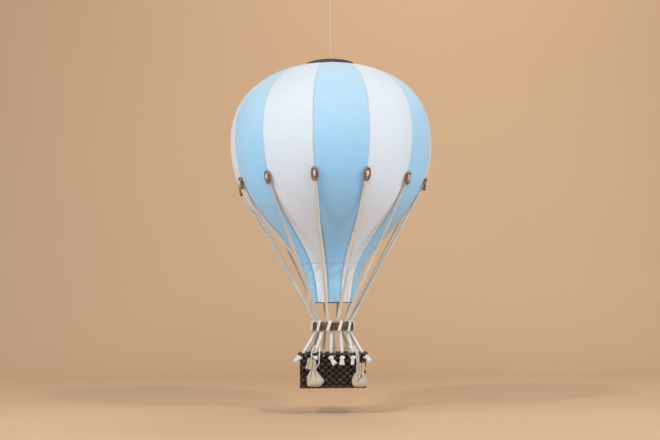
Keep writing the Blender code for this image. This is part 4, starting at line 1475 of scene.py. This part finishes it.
@dataclass(frozen=True)
class BagForm:
    """One sandbag of the front side: its stay, its neck, its edges and where its cord leaves the rim.

    The belly's and the ruffle's stations are heights from the neck with the left edge, the right edge and the
    half depth there.
    """

    stay: int
    neck: tuple[float, float]
    scale: float
    legs: tuple[tuple[float, float], tuple[float, float]]
    belly: tuple[tuple[float, float, float, float], ...]
    ruffle: tuple[tuple[float, float, float, float], ...]
    pleats: int
    crease: float


LEFT_BAG = BagForm(
    stay=11, neck=(-0.0284, -0.5875), scale=1.0, legs=((-0.0306, -0.0312), (-0.0192, -0.0202)),
    belly=(
        (0.0, -0.0040, 0.0042, 0.0028), (-0.0035, -0.0058, 0.0070, 0.0046), (-0.0080, -0.0084, 0.0104, 0.0068),
        (-0.0120, -0.0091, 0.0135, 0.0079), (-0.0150, -0.0092, 0.0157, 0.0083), (-0.0180, -0.0091, 0.0146, 0.0083),
        (-0.0210, -0.0087, 0.0124, 0.0074), (-0.0230, -0.0074, 0.0098, 0.0050), (-0.0239, 0.0, 0.0040, 0.0010),
    ),
    ruffle=(
        (0.0, -0.0040, 0.0042, 0.0028), (0.0014, -0.0088, 0.0048, 0.0033), (0.0028, -0.0117, 0.0047, 0.0036),
        (0.0050, -0.0108, 0.0048, 0.0038), (0.0080, -0.0094, 0.0049, 0.0040), (0.0115, -0.0086, 0.0043, 0.0040),
        (0.0140, -0.0088, 0.0036, 0.0039), (0.0160, -0.0084, 0.0024, 0.0036),
    ),
    pleats=9, crease=0.0,
)
RIGHT_BAG = BagForm(
    stay=2, neck=(0.0380, -0.5903), scale=0.93, legs=((0.0338, 0.0352), (0.0363, 0.0377)),
    belly=(
        (0.0, -0.0044, 0.0070, 0.0030), (-0.0035, -0.0078, 0.0096, 0.0052), (-0.0080, -0.0104, 0.0116, 0.0072),
        (-0.0130, -0.0116, 0.0122, 0.0082), (-0.0180, -0.0115, 0.0121, 0.0080), (-0.0215, -0.0099, 0.0106, 0.0066),
        (-0.0236, -0.0058, 0.0066, 0.0036), (-0.0240, -0.0010, 0.0012, 0.0008),
    ),
    ruffle=(
        (0.0, -0.0044, 0.0070, 0.0030), (0.0018, -0.0050, 0.0096, 0.0034), (0.0040, -0.0050, 0.0101, 0.0038),
        (0.0080, -0.0048, 0.0094, 0.0040), (0.0115, -0.0046, 0.0090, 0.0038), (0.0135, -0.0040, 0.0080, 0.0034),
    ),
    pleats=10, crease=0.0011,
)


@dataclass
class Sandbag:
    """A gathered cotton bag: belly, tied neck and floppy ruffle, with its cord over the rim and round its stay."""

    form: BagForm
    number: int
    half_turns: int
    columns: int = 132
    belly_rows: int = 64
    ruffle_rows: int = 40
    cord_radius: float = 0.0011
    hitch_rise: float = 0.0082
    hitch_side: float = 0.0039
    hitch_slack: float = 0.0011
    widest: float = 0.0122
    flatness: float = 0.68

    @property
    def body(self) -> str:
        """The body that the bag and its cord are."""
        return f"sandbag_{self.number}"

    def turned(self, points: Array) -> Array:
        """Points of a front bag, turned half a turn about the axis where the bag is one of the back's."""
        return points * np.array([-1.0, -1.0, 1.0]) if self.half_turns else points

    def neck(self) -> Array:
        """The middle of the neck, the bag's back just clear of the wall."""
        belly = self.widest * self.form.scale * self.flatness
        return np.array([self.form.neck[0], -(BASKET.depth / 2 + GAP + belly), self.form.neck[1]])

    def section(self, stations: Array) -> Array:
        """Rings of points: middle + half width cos a, half depth sin a, both as blunt ellipses."""
        a = np.arange(self.columns) * 2 * math.pi / self.columns
        height, left, right, depth = (column[:, None] for column in stations.T)
        middle, half = (left + right) / 2, (right - left) / 2
        x = middle + half * np.sign(np.cos(a)) * np.abs(np.cos(a)) ** 0.9
        y = depth * np.sign(np.sin(a)) * np.abs(np.sin(a)) ** 0.9
        return np.stack(np.broadcast_arrays(x, y, height), axis=-1)

    def pleat(self, a: Array, seed: int) -> Array:
        """A pleated wave from 0 in a crease to 1 on a crest: the root of |sin| with wandering creases."""
        draw = np.random.default_rng(seed)
        wander = sum(draw.uniform(0.1, 0.35) * np.sin(k * a + draw.uniform(0, 6.3)) for k in (1, 2, 3))
        return np.sqrt(np.abs(np.sin(self.form.pleats * a / 2 + wander)) + 1e-4)

    def belly(self) -> tuple[Array, Array]:
        """The belly from its bottom to the neck, creased from the neck down, and how little each place is creased,
        which sets the painted shade in the creases.
        """
        stations = smooth_columns(np.array(self.form.belly)[::-1], self.belly_rows)
        rings = self.section(stations)
        a = np.arange(self.columns) * 2 * math.pi / self.columns
        drop = -stations[:, :1]
        depth = 0.0024 * np.exp(-((drop - 0.002) / 0.0090) ** 2) + 0.00035 * np.clip(drop / 0.01, 0, 1)
        depth = depth * np.clip((0.0245 - drop) / 0.004, 0, 1)
        middle = 1.47 * math.pi + 0.25 * np.sin(260 * drop)
        crease = self.form.crease * np.exp(-(((a - middle) / 0.13) ** 2)) * np.clip(drop / 0.004, 0, 1)
        crease = crease * np.clip((0.019 - drop) / 0.008, 0, 1)
        dent = 0.0005 * np.sin(2 * a + 900 * drop) * np.sin(500 * drop + self.number)
        pleat = self.pleat(a, self.number)
        inset = depth * (1 - pleat) + crease + dent * np.clip(drop / 0.008, 0, 1) * 0.6
        # Painted shade: this value is low in creases, and the sack cloth's colour darkens there.
        smooth = 1 - np.clip(depth / 0.002, 0, 1) * (1 - pleat**2) - np.clip(crease / 0.001, 0, 1) * 0.8
        return self.pulled_in(rings, inset), smooth

    def ruffle(self) -> tuple[Array, Array]:
        """The ruffle from the neck to its lip, in deeper and looser pleats, and how little each place is creased, which
        sets the painted shade in the creases.
        """
        stations = smooth_columns(np.array(self.form.ruffle), self.ruffle_rows)
        rings = self.section(stations)
        a = np.arange(self.columns) * 2 * math.pi / self.columns
        share = (stations[:, :1] / stations[-1, 0])
        depth = 0.0016 + 0.0012 * np.clip(share * 3, 0, 1)
        pleat = self.pleat(a, 40 + self.number)
        rings = self.pulled_in(rings, depth * (1 - pleat))
        rings[..., 2] += 0.0011 * share**2 * np.sin(3 * a + 1.7) + 0.0006 * share**2 * np.sin(7 * a)
        return rings, pleat**1.5 + 0 * share

    def pulled_in(self, rings: Array, inset: Array) -> Array:
        """Rings moved towards their own middles by an inset."""
        middle = rings.mean(axis=1, keepdims=True)
        inward = unit((middle - rings) * np.array([1.0, 1.0, 0.0]))
        return rings + inward * inset[..., None]

    def build(self) -> None:
        """Build the bag, its tie and its cord."""
        (belly, belly_crease_light), (ruffle, ruffle_crease_light) = self.belly(), self.ruffle()
        lip = ruffle[-1]
        middle = lip.mean(axis=0)
        steps = np.array([(0.04, 0.0004), (0.10, 0.0001), (0.16, -0.0010), (0.30, -0.0040), (0.55, -0.0075), (0.85, -0.0100)])
        inside = np.stack([lip + (middle - lip) * share + np.array([0, 0, fall]) for share, fall in steps])
        grid = np.concatenate([belly, ruffle[1:], inside])
        # Crease values for painted shade; the inside of the lip gets a low one, so it is painted dark.
        smooth = np.concatenate([belly_crease_light, ruffle_crease_light[1:], np.full(inside.shape[:2], 0.2)])
        y_out = np.clip(grid[..., 1], None, self.widest * self.flatness)
        grid[..., 1] = y_out
        grid = self.turned(self.neck() + grid * self.form.scale)
        shape = Shape()
        middle_line = grid.mean(axis=1)
        v = arc_length(middle_line + np.arange(len(grid))[:, None] * 1e-6)
        u = np.linspace(0, 0.064, self.columns + 1)
        shape.grid(grid, u, v, around=True, ends=Ends.CLOSED, value=smooth)
        self.add_tie(shape)
        piece = shape.to_object(f"gathered_bag_{self.number}", SACK_CLOTH, 80)
        settle(piece, self.body, Slot.SACKING, f"sandbag_{self.number}")
        self.build_cord()

    def hitch(self) -> Array:
        """The middle of the stay where the cord goes round it."""
        high = STAY.round_ring(self.form.stay)[-1][:3]
        foot = STAY.foot(self.form.stay)
        share = (BASKET.rim_top + self.hitch_rise - foot[2]) / (high[2] - foot[2])
        return foot + (high - foot) * share

    def leg(self, which: int) -> list[Array]:
        """The cord from the stay over the rim and down behind the ruffle to the neck."""
        stay, neck, sign = self.hitch(), self.neck(), (-1, 1)[which]
        rim_y = -(BASKET.depth / 2 + BASKET.rim_overhang + self.cord_radius + GAP)
        wall_y = -(BASKET.depth / 2 + self.cord_radius + 0.0006)
        neck_back = neck[1] + 0.0042 * self.form.scale * self.flatness + self.cord_radius + GAP
        rim_x, low_x = self.form.legs[which]
        rim_top = BASKET.rim_top
        return [
            stay + np.array([sign * self.hitch_side, 0, 0]),
            np.array([rim_x, rim_y - 0.0002, rim_top + 0.0013]),
            np.array([rim_x, rim_y, rim_top - 0.0006]),
            np.array([0.5 * (rim_x + low_x), rim_y, rim_top - BASKET.rim_thick]),
            np.array([low_x, wall_y - 0.001, neck[2] + 0.0085]),
            np.array([neck[0] + sign * 0.0014, neck_back, neck[2]]),
        ]

    def build_cord(self) -> None:
        """Lay the cord along its route."""
        stay = self.hitch()
        behind = STAY.radius + self.cord_radius + self.hitch_slack
        turns = ((-0.62, 0.72), (0.0, 1.0), (0.62, 0.72))
        bight = [stay + np.array([x * self.hitch_side, y * behind, 0.0]) for x, y in turns]
        places = self.leg(0)[::-1] + bight + self.leg(1)
        route = rounded_route([np.append(p, self.cord_radius) for p in places], 0.0006, 0.0022)
        route[:, :3] = self.turned(route[:, :3])
        shape = Shape()
        CORD.add(shape, CORD.grid(route, self.turned(unit(np.array([-1.0, 0.12, 1.0])))))
        piece = shape.to_object(f"bag_tie_{self.number}", CORD_COTTON, 75)
        settle(piece, self.body, Slot.CORD, f"bag_cord_{self.number}")

    def add_tie(self, shape: Shape) -> None:
        """Two turns of thin cord round the neck, a flattened helix."""
        a = np.linspace(0, 4 * math.pi, 100)
        _, left, right, depth = self.form.belly[0]
        middle, half = (left + right) / 2, (right - left) / 2 - 0.0004
        local = np.stack([middle + half * np.cos(a), depth * np.sin(a), 0.0004 * (a / math.pi - 2)], axis=1)
        path = self.turned(self.neck() + local * self.form.scale)
        turn = np.arange(6) * 2 * math.pi / 6
        grid = swept(path, np.full((len(path), 1), 0.0004), turn, np.array([0.0, 0.0, 1.0]))
        shape.grid(grid, np.linspace(0, 0.003, 7), arc_length(path), around=True, ends=Ends.CLOSED, value=0.8)


# Studio


WARM: Colour = (1.12, 1.03, 0.87)
COOL: Colour = (0.78, 1.02, 1.19)


@dataclass(frozen=True)
class Lamp:
    """A soft round light: its place, what it is aimed at, its width, power in watts and colour."""

    name: str
    place: tuple[float, float, float]
    aim: tuple[float, float, float]
    width: float
    power: float
    colour: Colour

    def build(self) -> None:
        """Hang the light."""
        data = bpy.data.lights.new(self.name, "AREA")
        data.shape = "DISK"
        data.size = self.width
        data.energy = self.power
        data.color = self.colour
        lamp = bpy.data.objects.new(self.name, data)
        bpy.context.scene.collection.objects.link(lamp)
        lamp.location = self.place
        way = Vector(self.aim) - Vector(self.place)
        lamp.rotation_euler = way.to_track_quat("-Z", "Y").to_euler()


@dataclass
class Studio:
    """Seamless paper, lights and the camera level with the load ring."""

    floor_z: float = -0.652
    eye: tuple[float, float, float] = (-0.0037, -1.5, -0.524)
    pitch: float = math.radians(6.03)
    roll: float = math.radians(0.46)
    focal_pixels: float = 1000.0
    image_width: int = 660
    sensor: float = 36.0
    sweep_front: float = -3.5
    sweep_back: float = 2.2
    sweep_radius: float = 1.2
    sweep_height: float = 3.0
    sweep_half_width: float = 4.5
    air: Colour = (0.90, 1.0, 1.06)
    air_strength: float = 0.12
    lamps: tuple[Lamp, ...] = (
        Lamp("key_left", (-1.16, -1.49, 1.16), (0.0, 0.0, -0.32), 0.25, 16.5, WARM),
        Lamp("key_right", (1.16, -1.49, 1.16), (0.0, 0.0, -0.32), 0.25, 16.0, WARM),
        Lamp("side_left", (-2.38, -0.87, 0.26), (0.0, 0.0, -0.32), 1.2, 28.0, COOL),
        Lamp("side_right", (2.38, -0.87, 0.26), (0.0, 0.0, -0.32), 1.2, 27.0, COOL),
        Lamp("fill", (0.0, -2.66, 0.54), (0.0, 0.0, -0.32), 1.2, 23.5, (0.73, 0.96, 1.31)),
        Lamp("wall", (0.5, 0.9, 1.9), (0.4, 2.2, -0.3), 0.8, 14.5, (1.0, 1.05, 0.94)),
    )

    def build(self) -> None:
        """Put up the paper, the lights and the camera."""
        self.build_paper()
        for lamp in self.lamps:
            lamp.build()
        self.build_air()
        self.build_camera()

    def build_paper(self) -> None:
        """Floor, a quarter arc and a wall in one sheet: each a stretch of the section, drawn out sideways."""
        r = self.sweep_radius
        a = np.linspace(0, math.pi / 2, 24)
        bend = np.stack([self.sweep_back - r + r * np.sin(a), self.floor_z + r * (1 - np.cos(a))], axis=1)
        section = np.concatenate([
            [(self.sweep_front, self.floor_z)], bend, [(self.sweep_back, self.floor_z + self.sweep_height)]
        ])
        x = np.linspace(-self.sweep_half_width, self.sweep_half_width, 5)
        y, z = section[:, :1], section[:, 1:]
        grid = np.stack(np.broadcast_arrays(x[None], y, z), axis=-1)
        shape = Shape()
        shape.grid(grid, x, section[:, 0])
        shape.to_object("paper", PAPER)

    def build_air(self) -> None:
        """A weak warm light from all round, as pale walls would throw back."""
        world = bpy.data.worlds.new("air")
        world.use_nodes = True
        background = world.node_tree.nodes["Background"]
        background.inputs["Color"].default_value = (*self.air, 1.0)
        background.inputs["Strength"].default_value = self.air_strength
        bpy.context.scene.world = world

    def build_camera(self) -> None:
        """A camera that looks along +Y and a little up."""
        data = bpy.data.cameras.new("camera")
        data.sensor_width = self.sensor
        data.lens = self.focal_pixels / self.image_width * self.sensor
        camera = bpy.data.objects.new("camera", data)
        bpy.context.scene.collection.objects.link(camera)
        camera.location = self.eye
        camera.rotation_euler = (math.pi / 2 + self.pitch, self.roll, 0.0)
        bpy.context.scene.camera = camera
        bpy.context.scene.view_settings.view_transform = "Standard"


def main() -> None:
    """Build the pieces in the order that the balloon is put together."""
    logging.basicConfig(level=logging.INFO, format="%(message)s")
    Studio().build()
    Envelope().build()
    CrownCap().build()
    HangingThread().build()
    for index in range(GORES):
        BUTTON.build(index)
        STAY.build(index)
    LoadRing().build()
    Wickerwork().build()
    for half_turns in (0, 1):
        for place, form in enumerate((LEFT_BAG, RIGHT_BAG)):
            Sandbag(form, 2 * half_turns + place + 1, half_turns).build()


if __name__ == "__main__":
    main()
